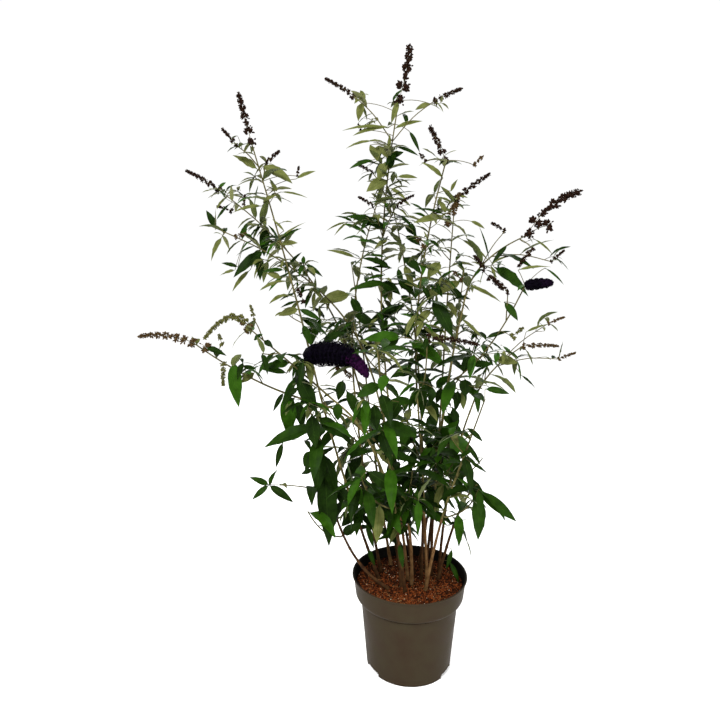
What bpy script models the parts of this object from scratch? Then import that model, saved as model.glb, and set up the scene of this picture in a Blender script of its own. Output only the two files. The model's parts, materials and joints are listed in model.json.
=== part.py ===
"""Butterfly bush in its nursery pot, in metres with +Z up.

The origin is the middle of the pot's flat underside. Canes rise from the soil, and
each foliage mass grows by one seeded rule from a stem that starts 0.3 mm clear of its
cane: twigs in crossed pairs, arching leaves, and flower spikes where they show.
Tables give places in centimetres: +X to the right of the front view, +Y to its back.
"""
import math
import random
from collections import namedtuple

import bmesh
import bpy
from mathutils import Vector
from mathutils.bvhtree import BVHTree

CM = 0.01
MM = 0.001
GAP = 0.3 * MM
UP = Vector((0.0, 0.0, 1.0))

# Pot
POT_HEIGHT = 25.6 * CM
RIM_RADIUS = 15.35 * CM
COLLAR_RADIUS = 15.0 * CM
COLLAR_FOOT_RADIUS = 14.5 * CM
COLLAR_DEPTH = 6.4 * CM
BODY_RADIUS = 13.0 * CM
BASE_RADIUS = 11.4 * CM
BASE_ROUNDING = 3 * MM
RIM_LIP = 4 * MM
WALL = 2.2 * MM
FLOOR = 4 * MM
NOTCHES = 3
NOTCH_FIRST = math.radians(-32)
NOTCH_WIDTH = 5.6 * CM
NOTCH_HEIGHT = 1.2 * CM
NOTCH_DEPTH = 1.2 * CM
POT_SIDES = 30
STEP_POINTS = 2

# Potting soil
SOIL_TOP = 23.2 * CM
SOIL_BOTTOM_RADIUS = 9.0 * CM
SOIL_SHOULDER = 2.2 * CM

# Canes
CANE_SIDES = 5
CANE_STEPS = 7
CANE_STEP_GROWTH = 1.4
CANE_FOOT_RADIUS = 4.6 * MM
CANE_TIP_RADIUS = 2.6 * MM
CANE_FLARE = 1.8 * MM
FLARE_HEIGHT = 2.5 * CM

# Sizes that change with height are given as two values, at LOW and at HIGH
LOW = 40 * CM
HIGH = 130 * CM

# Stems and twigs of the masses
STEM_SIDES = 3
STEM_STEPS = 5
STEM_RADIUS = 2.2 * MM
STEM_LIFT = 0.6
STEM_CARRY = 0.45
TWIG_RADIUS = 1.5 * MM
TWIG_END = 0.75
TWIG_BOW = 0.07
TWIG_LENGTH = (7.0 * CM, 4.5 * CM)
TWIG_LENGTH_SPREAD = (0.7, 1.2)
TWIG_RISE = (0.6, 1.2)
TWIG_CHANCE = (0.44, 0.26)
NODE_SPACING = (6.0 * CM, 11 * CM)
TURN_SPREAD = 0.3

# Leaves
LEAF_LENGTH = (17.5 * CM, 11 * CM)
LEAF_LENGTH_SPREAD = (0.8, 1.15)
LEAF_WIDTH = (0.32, 0.26)
LEAF_WIDTH_SPREAD = (0.9, 1.1)
LEAF_DROOP = (0.9, 0.55)
LEAF_DROOP_SPREAD = (0.5, 1.3)
LEAF_RISE = (0.15, 0.75)
LEAF_RISE_SPREAD = (-0.2, 0.3)
LEAF_PLACE = 0.9
LEAF_LAST_PLACE = 0.98
LEAF_KEEL = 0.018
LEAF_ROOT = 0.8 * MM
LEAF_BEND = 0.45
LEAF_TAPER = 0.3
SMALL_LEAF = 0.7
FOOT_DROOP = 0.35
STEEP = 0.2

# Space that a mass keeps to
CLEARANCE = 0.5 * MM
MASS_REACH = (19 * CM, 13 * CM)
LOWEST_LEAF = 31 * CM
BLADE_START = 0.2

# Flower spikes
SPIKE_SIDES = 4
SPIKE_WHORL = 3.0 * CM
SPIKE_VALLEY = 0.5
SPIKE_POINT = 0.3
SPIKE_TAPER = 1.5
SPIKE_SINK = 3 * MM
SPIKE_FOOT_RADIUS = 2 * MM
BLOOM_RADIUS = 2 * CM
BLOOM_VALLEY = 0.85
BLOOM_SIDES = 6

SEED = 41

# Each cane: its foot on the soil (x, y), its middle and its tip (x, y, z)
CANES = {
    "cane_middle": ((1.5, 2.5), (-3.6, 3, 54), (-7, 4, 84)),
    "cane_left_bow": ((-7.5, 4.5), (-12, 6, 50), (-15, 7.8, 76)),
    "cane_middle_thin": ((3.2, 0.3), (3.5, 2, 49), (2.5, 4.2, 74)),
    "cane_right_thin": ((4.6, -1.6), (3, -2.6, 50), (0.8, -3.9, 77)),
    "cane_right_rear": ((5.0, 5.2), (7.6, 7.6, 51), (9.4, 11.5, 77)),
    "cane_right_high": ((6.2, 2.4), (7.8, 2.8, 62), (13.5, 3.3, 99)),
    "cane_right_low": ((7.8, 0.2), (12, -1, 41), (16.4, -2.5, 50.5)),
    "cane_right_mid": ((8.6, 4.4), (11.5, 5.4, 50), (17.6, 8, 71)),
    "cane_left_high": ((-8.2, 0.6), (-18.5, -0.5, 56), (-25.8, -1.0, 85)),
    "cane_left_rear": ((-2.0, 6.5), (-8, 9.6, 52), (-15, 13, 79)),
    "cane_left_leafy": ((-0.4, 0.0), (-4, 2, 51), (-9.5, 3.9, 77)),
    "cane_far_left": ((0.4, -2.4), (-6.6, -3.9, 59), (-29, -7.4, 75.5)),
    "cane_left_arch": ((-2.4, -3.4), (-8, -6.6, 57), (-21, -12, 77)),
    "cane_left_rim": ((-6.0, -4.2), (-16.8, -7.3, 38), (-22, -11.5, 62)),
    "cane_back_left": ((-4.5, 8.0), (-8.5, 14.5, 49), (-11.5, 23, 74)),
    "cane_back_right": ((3.6, 8.6), (8.5, 15.5, 49), (13.5, 25, 74)),
    "cane_front_left": ((-1.6, -6.0), (-4.4, -12.5, 45), (-7, -21, 65)),
    "cane_front_right": ((3.8, -5.0), (6.2, -10.6, 43), (8.7, -18, 59)),
}

# Each mass: its cane, the height where it leaves it (TIP: it carries the cane on),
# the end of its stem, and the tip and radius of the spike there (None: no spike)
TIP = None
MASSES = {
    "foliage_middle_top": ("cane_middle", TIP, (-3.8, 6, 147), (-1.2, 5, 160), 1.3),
    "foliage_left_bow_top": ("cane_left_bow", TIP, (-8.3, 20, 125), (-7, 21, 129), 0.4),
    "foliage_middle_thin_top": ("cane_middle_thin", TIP, (-4.9, 14, 124), (-6, 15, 128), 0.4),
    "foliage_right_thin_top": ("cane_right_thin", TIP, (5.9, -10, 130), (1.9, -11, 137.4), 0.7),
    "foliage_right_rear_top": ("cane_right_rear", TIP, (13.6, 24, 125.5), (24, 26, 133.2), 0.8),
    "foliage_right_high_top": ("cane_right_high", TIP, (28.8, 4, 114.6), (42.7, 5, 125.6), 1.3),
    "foliage_right_low_top": ("cane_right_low", TIP, (20.5, -6, 60), None, 0),
    "foliage_right_mid_top": ("cane_right_mid", TIP, (30.7, 10, 85.6), (41.2, 12, 85.3), 0.6),
    "foliage_left_high_top": ("cane_left_high", TIP, (-38.9, -2, 135.5), (-41.5, -3, 146.5), 0.9),
    "foliage_left_rear_top": ("cane_left_rear", TIP, (-52.6, 22, 128), (-62.8, 25, 133.8), 0.7),
    "foliage_left_leafy_top": ("cane_left_leafy", TIP, (-52, 14, 117), (-54, 15, 119), 0.3),
    "foliage_far_left_top": ("cane_far_left", TIP, (-52.1, -11, 89.1), (-64.8, -12, 90.7), 0.8),
    "foliage_left_arch_top": ("cane_left_arch", TIP, (-37.3, -19, 93.2), (-46.8, -22, 91.2), 0.7),
    "foliage_left_rim_top": ("cane_left_rim", TIP, (-28, -13.5, 80), None, 0),
    "foliage_back_left_top": ("cane_back_left", TIP, (-16, 40, 108), (-17, 44, 116), 0.7),
    "foliage_back_right_top": ("cane_back_right", TIP, (20, 42, 106), (22, 46, 114), 0.7),
    "foliage_front_left_top": ("cane_front_left", TIP, (-10, -36, 91), None, 0),
    "foliage_front_right_top": ("cane_front_right", TIP, (12, -30, 80), None, 0),
    "foliage_left_rim_side": ("cane_left_rim", 40, (-26, -15, 50), None, 0),
    "foliage_left_star": ("cane_left_rim", 52, (-33, -10, 54), None, 0),
    "foliage_left_high_low": ("cane_left_high", 50, (-28, 4, 61), None, 0),
    "foliage_left_arch_low": ("cane_left_arch", 47, (-14, -16, 57), None, 0),
    "foliage_far_left_low": ("cane_far_left", 48, (-1, -15, 60), None, 0),
    "foliage_front_left_low": ("cane_front_left", 50, (-13, -21, 60), None, 0),
    "foliage_front_right_low": ("cane_front_right", 47, (14, -19, 57), None, 0),
    "foliage_right_thin_low": ("cane_right_thin", 50, (10, -12, 62), None, 0),
    "foliage_right_high_low": ("cane_right_high", 58, (20, -4, 71), None, 0),
    "foliage_right_mid_low": ("cane_right_mid", 48, (23, 9, 58), None, 0),
    "foliage_right_rear_low": ("cane_right_rear", 48, (15, 21, 58), None, 0),
    "foliage_back_right_low": ("cane_back_right", 44, (9, 27, 56), None, 0),
    "foliage_back_left_low": ("cane_back_left", 44, (-15, 24, 56), None, 0),
    "foliage_left_rear_low": ("cane_left_rear", 52, (-16, 17, 64), None, 0),
    "foliage_left_bow_low": ("cane_left_bow", 60, (-25, 12, 74), None, 0),
    "foliage_middle_thin_low": ("cane_middle_thin", 56, (-2, -8, 70), None, 0),
    "foliage_middle_side": ("cane_middle", 79, (-15, 0, 93), None, 0),
    "foliage_right_thin_side": ("cane_right_thin", 75, (2, -13, 90.6), (14.5, -12, 88.8), 0.7),
    "foliage_right_rear_side": ("cane_right_rear", 72, (20, 18, 88), None, 0),
    "foliage_right_high_side": ("cane_right_high", 77, (23.4, -15, 102.4), (28.9, -17, 103.1), 1.1),
    "foliage_left_high_bloom": ("cane_left_high", 79, (-25.2, -14, 86.5), (-11.8, -24, 83.5), 2.4),
    "foliage_left_rear_side": ("cane_left_rear", 75, (-19, 23, 90), None, 0),
}

# The spikes that fork from a stem: mass, share of the way up it, spike foot, tip, radius
SIDE_SPIKES = (
    ("foliage_middle_top", 0.86, (-14.8, 9, 149), (-22.3, 11, 153.9), 0.6),
    ("foliage_middle_top", 0.86, (4.6, 3, 146.2), (11.2, 1, 148.6), 0.6),
    ("foliage_middle_top", 0.66, (-10.2, 8, 130.5), (-14.3, 11, 133), 0.4),
    ("foliage_middle_top", 0.5, (-10.2, 2, 121.7), (-13.8, -2, 123.2), 0.4),
    ("foliage_middle_top", 0.5, (-4.2, 2, 121.7), (-0.4, -2, 123.6), 0.4),
    ("foliage_right_high_top", 0.42, (16.8, -3, 106), (13.2, -8, 109.3), 0.5),
    ("foliage_right_high_top", 0.42, (23.7, 6, 115.7), (20.5, 8, 118), 0.5),
    ("foliage_right_high_top", 0.92, (29.4, 1, 111.1), (25.5, -1, 106.6), 0.6),
    ("foliage_right_high_top", 0.6, (34.8, 3, 108), (37.8, 2, 110.8), 0.4),
    ("foliage_right_mid_top", 0.5, (37.6, 11, 91.6), (42.4, 12, 93.3), 0.4),
    ("foliage_right_mid_top", 0.6, (39.5, 7, 82.5), (44.3, 7.5, 84.2), 0.4),
    ("foliage_left_high_top", 0.9, (-41.5, -6, 134), (-44.5, -8, 137.5), 0.5),
    ("foliage_left_high_top", 0.84, (-36, 1, 131.5), (-33, 4, 135), 0.5),
    ("foliage_left_arch_top", 0.85, (-36.6, -17, 95), (-37.4, -17.5, 98.5), 0.4),
    ("foliage_right_high_side", 0.8, (19.4, -16, 101), (15.2, -18, 104.5), 0.5),
)

# The spikes that bend: mass, and a point on the way from their foot to their tip
BENT_SPIKES = {
    "foliage_left_arch_top": (-41.2, -20, 96),
    "foliage_left_high_bloom": (-17.5, -20.5, 88.6),
}

# Finishes: colour, roughness
POT_FINISH = ((0.085, 0.072, 0.050), 0.5)
SOIL_FINISH = ((0.115, 0.045, 0.018), 0.95)
CANE_FINISH = ((0.150, 0.110, 0.045), 0.75)
LEAF_FINISH = ((0.035, 0.110, 0.020), 0.6)

Leaf = namedtuple("Leaf", "root along bent side length width")
Shoot = namedtuple("Shoot", "points radii sides first_normal")


def clear_scene():
    for obj in list(bpy.data.objects):
        bpy.data.objects.remove(obj)


def finish(obj, look):
    material = bpy.data.materials.new(obj.name)
    material.use_nodes = True
    shader = material.node_tree.nodes["Principled BSDF"]
    colour, roughness = look
    shader.inputs["Base Color"].default_value = (*colour, 1.0)
    shader.inputs["Roughness"].default_value = roughness
    obj.data.materials.append(material)


def add_object(name, verts, faces):
    mesh = bpy.data.meshes.new(name)
    mesh.from_pydata(verts, [], faces)
    mesh.update()
    obj = bpy.data.objects.new(name, mesh)
    bpy.context.scene.collection.objects.link(obj)
    return obj


def centimetres(place):
    return Vector(place) * CM


def by_height(pair, z):
    """A size between its low and high value, by the height above the ground."""
    share = min(1.0, max(0.0, (z - LOW) / (HIGH - LOW)))
    return pair[0] + (pair[1] - pair[0]) * share


def turned(name, profile, sides):
    """A solid of revolution round Z; the profile runs from axis to axis."""
    verts = [Vector((0.0, 0.0, profile[0][1])), Vector((0.0, 0.0, profile[-1][1]))]
    rings = []
    for radius, z in profile[1:-1]:
        rings.append(len(verts))
        for i in range(sides):
            turn = 2 * math.pi * i / sides
            verts.append(Vector((radius * math.cos(turn), radius * math.sin(turn), z)))
    faces = []
    for i in range(sides):
        j = (i + 1) % sides
        faces.append((0, rings[0] + j, rings[0] + i))
        for low, high in zip(rings, rings[1:]):
            faces.append((low + i, low + j, high + j, high + i))
        faces.append((1, rings[-1] + i, rings[-1] + j))
    return add_object(name, verts, faces)


def collar_step(low_radius, high_radius, z):
    """The rounded step from the pot's body out to its collar."""
    points = []
    for i in range(STEP_POINTS + 1):
        turn = math.pi / 2 * i / STEP_POINTS
        radius = low_radius + (high_radius - low_radius) * math.sin(turn)
        points.append((radius, z + (high_radius - low_radius) * (1 - math.cos(turn))))
    return points


def make_pot():
    collar_foot = POT_HEIGHT - COLLAR_DEPTH
    profile = [(0.0, 0.0), (BASE_RADIUS - BASE_ROUNDING, 0.0), (BASE_RADIUS, BASE_ROUNDING)]
    profile += collar_step(BODY_RADIUS, COLLAR_FOOT_RADIUS, collar_foot)
    profile += [
        (COLLAR_RADIUS, POT_HEIGHT - RIM_LIP),
        (RIM_RADIUS, POT_HEIGHT - RIM_LIP / 2),
        (RIM_RADIUS - WALL / 2, POT_HEIGHT),
        (COLLAR_RADIUS - WALL, POT_HEIGHT - WALL),
    ]
    inner = collar_step(BODY_RADIUS - WALL, COLLAR_FOOT_RADIUS - WALL, collar_foot)
    profile += inner[::-1]
    profile += [(BASE_RADIUS - WALL, FLOOR), (0.0, FLOOR)]
    pot = turned("pot", profile, POT_SIDES)
    for i in range(NOTCHES):
        cut_notch(pot, NOTCH_FIRST - 2 * math.pi * i / NOTCHES)
    pot.data.shade_smooth()
    pot.data.set_sharp_from_angle(angle=math.radians(30))
    finish(pot, POT_FINISH)


def cut_notch(pot, turn):
    """A drain cut-out in the foot of the wall."""
    mesh = bpy.data.meshes.new("drain_cutter")
    builder = bmesh.new()
    bmesh.ops.create_cube(builder, size=1.0)
    bmesh.ops.scale(builder, vec=(NOTCH_DEPTH * 2, NOTCH_WIDTH, NOTCH_HEIGHT * 2), verts=builder.verts)
    builder.to_mesh(mesh)
    builder.free()
    cutter = bpy.data.objects.new("drain_cutter", mesh)
    bpy.context.scene.collection.objects.link(cutter)
    cutter.location = (BASE_RADIUS * math.cos(turn), BASE_RADIUS * math.sin(turn), 0.0)
    cutter.rotation_euler = (0.0, 0.0, turn)
    cutter.hide_render = True
    cutter.display_type = "WIRE"
    cut = pot.modifiers.new("drain", "BOOLEAN")
    cut.operation = "DIFFERENCE"
    cut.object = cutter


def make_soil():
    collar_foot = POT_HEIGHT - COLLAR_DEPTH
    inset = WALL + 3 * GAP
    share = SOIL_SHOULDER / collar_foot
    shoulder = BASE_RADIUS + (BODY_RADIUS - BASE_RADIUS) * share - inset
    top = COLLAR_FOOT_RADIUS - inset
    profile = [(0.0, FLOOR + GAP), (SOIL_BOTTOM_RADIUS, FLOOR + GAP), (shoulder, SOIL_SHOULDER)]
    profile += [(BODY_RADIUS - inset, collar_foot), (top, SOIL_TOP), (0.0, SOIL_TOP)]
    finish(turned("potting_soil", profile, POT_SIDES), SOIL_FINISH)


def bow(start, middle, end, share):
    """A point on the curve that passes through its middle point half way."""
    control = middle * 2 - (start + end) / 2
    return start * (1 - share) ** 2 + control * 2 * share * (1 - share) + end * share ** 2


def square_to(direction):
    """A unit vector square to a direction."""
    other = Vector((1.0, 0.0, 0.0)) if abs(direction.x) < 0.7 else Vector((0.0, 1.0, 0.0))
    return direction.cross(other).normalized()


def tube(shoot, swell=0.0):
    """A closed tapering tube along the shoot's points."""
    points, radii, sides, first_normal = shoot
    tangents = []
    for i in range(len(points)):
        before = points[max(0, i - 1)]
        after = points[min(len(points) - 1, i + 1)]
        tangents.append((after - before).normalized())
    if first_normal is not None:
        tangents[0] = first_normal
    verts = []
    across = square_to(tangents[0])
    for point, tangent, radius in zip(points, tangents, radii):
        across = (across - tangent * across.dot(tangent)).normalized()
        beside = tangent.cross(across)
        for i in range(sides):
            turn = 2 * math.pi * i / sides
            ring = across * math.cos(turn) + beside * math.sin(turn)
            verts.append(point + ring * (radius + swell))
    faces = [tuple(reversed(range(sides)))]
    for low in range(0, len(verts) - sides, sides):
        for i in range(sides):
            j = (i + 1) % sides
            faces.append((low + i, low + j, low + sides + j, low + sides + i))
    faces.append(tuple(range(len(verts) - sides, len(verts))))
    return verts, faces


def blade(leaf, swell=0.0, start=0.0):
    """An arched leaf: a small foot, a wide keeled middle and a point."""
    bend = leaf.root + leaf.along * (leaf.length * LEAF_BEND)
    tip = bend + leaf.bent * (leaf.length * (1 - LEAF_BEND) + swell)
    root = leaf.root.lerp(bend, start)
    face = leaf.side.cross(leaf.along)
    arch = leaf.side.cross((leaf.along + leaf.bent).normalized())
    half = LEAF_ROOT + (leaf.width / 2 - LEAF_ROOT) * start + swell
    keel = leaf.length * LEAF_KEEL + swell
    verts = [
        root + leaf.side * half + face * swell,
        root - leaf.side * half + face * swell,
        root - face * (LEAF_ROOT + swell),
        bend + leaf.side * (leaf.width / 2 + swell) + arch * swell,
        bend - leaf.side * (leaf.width / 2 + swell) + arch * swell,
        bend - arch * keel,
        tip,
    ]
    faces = [(0, 1, 2), (3, 4, 1, 0), (4, 5, 2, 1), (5, 3, 0, 2), (6, 4, 3), (6, 5, 4), (6, 3, 5)]
    return verts, faces


class Space:
    """The solids placed so far, each with the node that owns it."""

    def __init__(self):
        self.placed = []

    def add(self, owner, shape):
        self.placed.append((owner, *self.bounds(shape[0]), BVHTree.FromPolygons(*shape)))

    @staticmethod
    def bounds(verts):
        low = [min(v[i] for v in verts) for i in range(3)]
        high = [max(v[i] for v in verts) for i in range(3)]
        return low, high

    def touched(self, shape, choose):
        """The owner of a placed solid, of those chosen, that the shape touches."""
        low, high = self.bounds(shape[0])
        tree = BVHTree.FromPolygons(*shape)
        for owner, other_low, other_high, other in self.placed:
            if not choose(owner):
                continue
            if any(low[i] > other_high[i] or high[i] < other_low[i] for i in range(3)):
                continue
            if tree.overlap(other):
                return owner
        return None


def along(shoot, share):
    """The point, heading and radius part of the way along a shoot."""
    place = share * (len(shoot.points) - 1)
    i = min(int(place), len(shoot.points) - 2)
    low, high = shoot.points[i], shoot.points[i + 1]
    radius = shoot.radii[i] + (shoot.radii[i + 1] - shoot.radii[i]) * (place - i)
    return low.lerp(high, place - i), (high - low).normalized(), radius


def make_cane(foot, middle, tip):
    """One tapering cane, from a level cut on the soil to its tip."""
    foot = Vector((foot[0] * CM, foot[1] * CM, SOIL_TOP + GAP))
    points = []
    radii = []
    for i in range(CANE_STEPS + 1):
        share = (i / CANE_STEPS) ** CANE_STEP_GROWTH
        point = bow(foot, centimetres(middle), centimetres(tip), share)
        taper = CANE_FOOT_RADIUS + (CANE_TIP_RADIUS - CANE_FOOT_RADIUS) * share
        points.append(point)
        radii.append(taper + CANE_FLARE * math.exp((foot.z - point.z) / FLARE_HEIGHT))
    return Shoot(points, radii, CANE_SIDES, UP)


def share_at(shoot, z):
    """How far up a shoot a height is."""
    for i, (low, high) in enumerate(zip(shoot.points, shoot.points[1:])):
        if low.z <= z < high.z:
            return (i + (z - low.z) / (high.z - low.z)) / (len(shoot.points) - 1)
    raise ValueError("the height is not on the shoot")


class Mass:
    """One foliage mass: its stem, twigs, leaves and spikes, by the seeded rule."""

    def __init__(self, name, canes, seed):
        cane_name, height, reach, spike_tip, spike_radius = MASSES[name]
        self.name = name
        self.rng = random.Random(seed)
        self.reach = centimetres(reach)
        self.stem = self.make_stem(canes[cane_name], height)
        self.start = self.stem.points[0]
        self.length = (self.reach - self.start).length
        self.spikes = []
        self.branches = []
        if spike_tip:
            bend = BENT_SPIKES.get(name)
            self.spikes.append(spike(self.reach, bend, spike_tip, spike_radius * CM))
        for owner, share, foot, tip, radius in SIDE_SPIKES:
            if owner == name:
                self.fork(share, centimetres(foot))
                self.spikes.append(spike(centimetres(foot), None, tip, radius * CM))
        self.forks = [twig for twig, _ in self.branches]
        nodes = round(self.length / by_height(NODE_SPACING, self.reach.z))
        self.branches.append((self.stem, self.pairs(self.stem, 1.0, nodes)))
        self.grow_twigs()

    def make_stem(self, cane, height):
        """The stem, from 0.3 mm clear of its cane, curving on to the mass's reach."""
        if height is TIP:
            tip, heading, _ = along(cane, 1.0)
            start = tip + heading * GAP
            collar = []
            normal = heading
        else:
            axis, tangent, radius = along(cane, share_at(cane, height * CM))
            out = self.reach - axis
            normal = (out - tangent * out.dot(tangent)).normalized()
            start = axis + normal * (radius + GAP)
            collar = [start + normal * STEM_RADIUS * 2]
            heading = (normal + tangent * STEM_LIFT).normalized()
        control = start + heading * (self.reach - start).length * STEM_CARRY
        middle = control / 2 + (start + self.reach) / 4
        points = [bow(start, middle, self.reach, i / STEM_STEPS) for i in range(STEM_STEPS + 1)]
        points[1:1] = collar
        count = len(points) - 1
        radii = [STEM_RADIUS + (TWIG_RADIUS - STEM_RADIUS) * i / count for i in range(count + 1)]
        return Shoot(points, radii, STEM_SIDES, normal)

    def add_twig(self, start, end, rise):
        """A twig that bows a little, with one pair of leaves near its end."""
        middle = (start + end) / 2 + rise * (end - start).length
        points = [bow(start, middle, end, i / 2) for i in range(3)]
        radii = [TWIG_RADIUS, TWIG_RADIUS * (1 + TWIG_END) / 2, TWIG_RADIUS * TWIG_END]
        twig = Shoot(points, radii, STEM_SIDES, None)
        self.branches.append((twig, self.pairs(twig, SMALL_LEAF, 1)))

    def fork(self, share, foot):
        start, _, _ = along(self.stem, share)
        self.add_twig(start, foot, UP * TWIG_BOW)

    def grow_twigs(self):
        """Side twigs in crossed pairs along the stem."""
        nodes = max(2, round(self.length / by_height(NODE_SPACING, self.start.z)))
        turn = self.rng.uniform(0, math.pi)
        for i in range(1, nodes):
            point, heading, _ = along(self.stem, i / nodes)
            turn += math.pi / 2 + self.rng.uniform(-TURN_SPREAD, TURN_SPREAD)
            for side in (0, math.pi):
                chance = self.rng.random()
                size = by_height(TWIG_LENGTH, point.z) * self.rng.uniform(*TWIG_LENGTH_SPREAD)
                out = spoke(heading, turn + side)
                way = (out + heading * self.rng.uniform(*TWIG_RISE)).normalized()
                if chance < by_height(TWIG_CHANCE, point.z):
                    self.add_twig(point, point + way * size, out * TWIG_BOW)

    def pairs(self, shoot, scale, nodes):
        """Leaves in crossed pairs at the nodes of a shoot."""
        leaves = []
        turn = self.rng.uniform(0, math.pi)
        for i in range(nodes):
            share = min((i + LEAF_PLACE) / nodes, LEAF_LAST_PLACE)
            point, heading, _ = along(shoot, share)
            turn += math.pi / 2 + self.rng.uniform(-TURN_SPREAD, TURN_SPREAD)
            size = scale * (1.0 - LEAF_TAPER * share)
            for side in (0, math.pi):
                leaves.append(self.leaf(point, heading, turn + side, size))
        return leaves

    def leaf(self, point, heading, turn, scale):
        """A leaf that leaves its shoot, then arches over by the droop of its height."""
        out = spoke(heading, turn)
        rise = by_height(LEAF_RISE, point.z) + self.rng.uniform(*LEAF_RISE_SPREAD)
        droop = by_height(LEAF_DROOP, point.z) * self.rng.uniform(*LEAF_DROOP_SPREAD)
        length = by_height(LEAF_LENGTH, point.z) * scale * self.rng.uniform(*LEAF_LENGTH_SPREAD)
        width = length * by_height(LEAF_WIDTH, point.z) * self.rng.uniform(*LEAF_WIDTH_SPREAD)
        first = (out + heading * rise - UP * droop * FOOT_DROOP).normalized()
        bent = (first - UP * droop).normalized()
        side = first.cross(UP)
        if side.length < STEEP:
            side = out.cross(heading)
        return Leaf(point, first, bent, side.normalized(), length, width)

    def keeps(self, leaf):
        """Whether a leaf stays in the mass's own space and above the lowest leaves."""
        tip = leaf.root + (leaf.along + leaf.bent) * leaf.length / 2
        line = self.reach - self.start
        share = min(1.0, max(0.0, (tip - self.start).dot(line) / line.length_squared))
        away = (tip - self.start - line * share).length
        return away < by_height(MASS_REACH, tip.z) and tip.z > LOWEST_LEAF


def spoke(heading, turn):
    """A unit vector square to a heading, turned round it."""
    across = square_to(heading)
    return across * math.cos(turn) + heading.cross(across) * math.sin(turn)


def spike(foot, bend, tip, radius):
    """A tapering spike of whorls; a bloom's whorls stand closer and fuller."""
    tip = centimetres(tip)
    middle = centimetres(bend) if bend else (foot + tip) / 2
    length = (middle - foot).length + (tip - middle).length
    full = radius > BLOOM_RADIUS
    valley = BLOOM_VALLEY if full else SPIKE_VALLEY
    rings = max(2, round(length / SPIKE_WHORL)) * 2
    points = [bow(foot, middle, tip, i / rings) for i in range(rings + 1)]
    radii = []
    for i in range(rings + 1):
        size = radius * (1 - (1 - SPIKE_POINT) * (i / rings) ** SPIKE_TAPER)
        radii.append(size if i % 2 else size * valley)
    points[0] = foot + (foot - points[1]).normalized() * SPIKE_SINK
    radii[0] = max(SPIKE_FOOT_RADIUS, radius * SPIKE_POINT)
    radii[-1] = radius * SPIKE_POINT / 2
    return Shoot(points, radii, BLOOM_SIDES if full else SPIKE_SIDES, None)


def is_clear(space, shape, name):
    """Whether a shape touches no other node's solids."""
    return not space.touched(shape, lambda owner: owner != name)


def beyond_collar(shoot):
    """The shoot from its second point on, for tests near the cane that carries it."""
    return shoot._replace(points=shoot.points[1:], radii=shoot.radii[1:], first_normal=None)


def place_masses(masses, space):
    """The shapes of each mass that stay clear of every other node: stems, forks and
    spikes first, then twigs, then leaves."""
    kept = {mass.name: [] for mass in masses}

    def keep(mass, shape):
        kept[mass.name].append(shape)
        space.add(mass.name, shape)

    for mass in masses:
        for shoot in [mass.stem, *mass.forks, *mass.spikes]:
            test = beyond_collar(shoot) if shoot is mass.stem else shoot
            if not is_clear(space, tube(test, CLEARANCE), mass.name):
                raise ValueError(mass.name + " has a stem or spike that touches another node")
            keep(mass, tube(shoot))
    for mass in masses:
        for shoot, _ in list(mass.branches):
            if shoot is mass.stem or shoot in mass.forks:
                continue
            if is_clear(space, tube(shoot, CLEARANCE), mass.name):
                keep(mass, tube(shoot))
            else:
                mass.branches = [branch for branch in mass.branches if branch[0] is not shoot]
    for mass in masses:
        for leaf in [leaf for _, leaves in mass.branches for leaf in leaves]:
            clear = mass.keeps(leaf) and is_clear(space, blade(leaf, CLEARANCE), mass.name)
            if clear and not space.touched(blade(leaf, CLEARANCE, BLADE_START), lambda owner: True):
                keep(mass, blade(leaf))
    return kept


def fuse(name, shapes):
    """One closed solid from the overlapping shapes of a mass."""
    joined = bpy.data.collections.new(name + "_shapes")
    bpy.context.scene.collection.children.link(joined)
    body = add_object(name, *shapes[0])
    for shape in shapes[1:]:
        piece = add_object(name + "_shape", *shape)
        bpy.context.scene.collection.objects.unlink(piece)
        joined.objects.link(piece)
    union = body.modifiers.new("fuse", "BOOLEAN")
    union.operation = "UNION"
    union.operand_type = "COLLECTION"
    union.collection = joined
    union.solver = "MANIFOLD"
    evaluated = body.evaluated_get(bpy.context.evaluated_depsgraph_get())
    fused = bpy.data.meshes.new_from_object(evaluated)
    body.modifiers.clear()
    body.data = fused
    fused.materials.clear()
    for piece in list(joined.objects):
        bpy.data.objects.remove(piece)
    bpy.data.collections.remove(joined)
    keep_largest(fused)
    return body


def keep_largest(mesh):
    """Drop loose scraps and fill sealed hollows: only the largest shell stays."""
    builder = bmesh.new()
    builder.from_mesh(mesh)
    unseen = set(builder.verts)
    shells = []
    while unseen:
        start = unseen.pop()
        shell = {start}
        edge_of_shell = [start]
        while edge_of_shell:
            vert = edge_of_shell.pop()
            for link in vert.link_edges:
                other = link.other_vert(vert)
                if other not in shell:
                    shell.add(other)
                    edge_of_shell.append(other)
        unseen -= shell
        shells.append(shell)
    shells.sort(key=len)
    for shell in shells[:-1]:
        bmesh.ops.delete(builder, geom=list(shell), context="VERTS")
    bmesh.ops.triangulate(builder, faces=builder.faces)
    builder.to_mesh(mesh)
    builder.free()


def main():
    clear_scene()
    make_pot()
    make_soil()
    space = Space()
    canes = {name: make_cane(*CANES[name]) for name in CANES}
    for name, cane in canes.items():
        if not is_clear(space, tube(cane, CLEARANCE), name):
            raise ValueError(name + " touches another cane")
        space.add(name, tube(cane))
        finish(add_object(name, *tube(cane)), CANE_FINISH)
    pot = bpy.data.objects["pot"].data
    space.add("pot", ([v.co.copy() for v in pot.vertices], [tuple(p.vertices) for p in pot.polygons]))
    masses = [Mass(name, canes, SEED + i) for i, name in enumerate(MASSES)]
    kept = place_masses(masses, space)
    for mass in masses:
        finish(fuse(mass.name, kept[mass.name]), LEAF_FINISH)


main()
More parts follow.
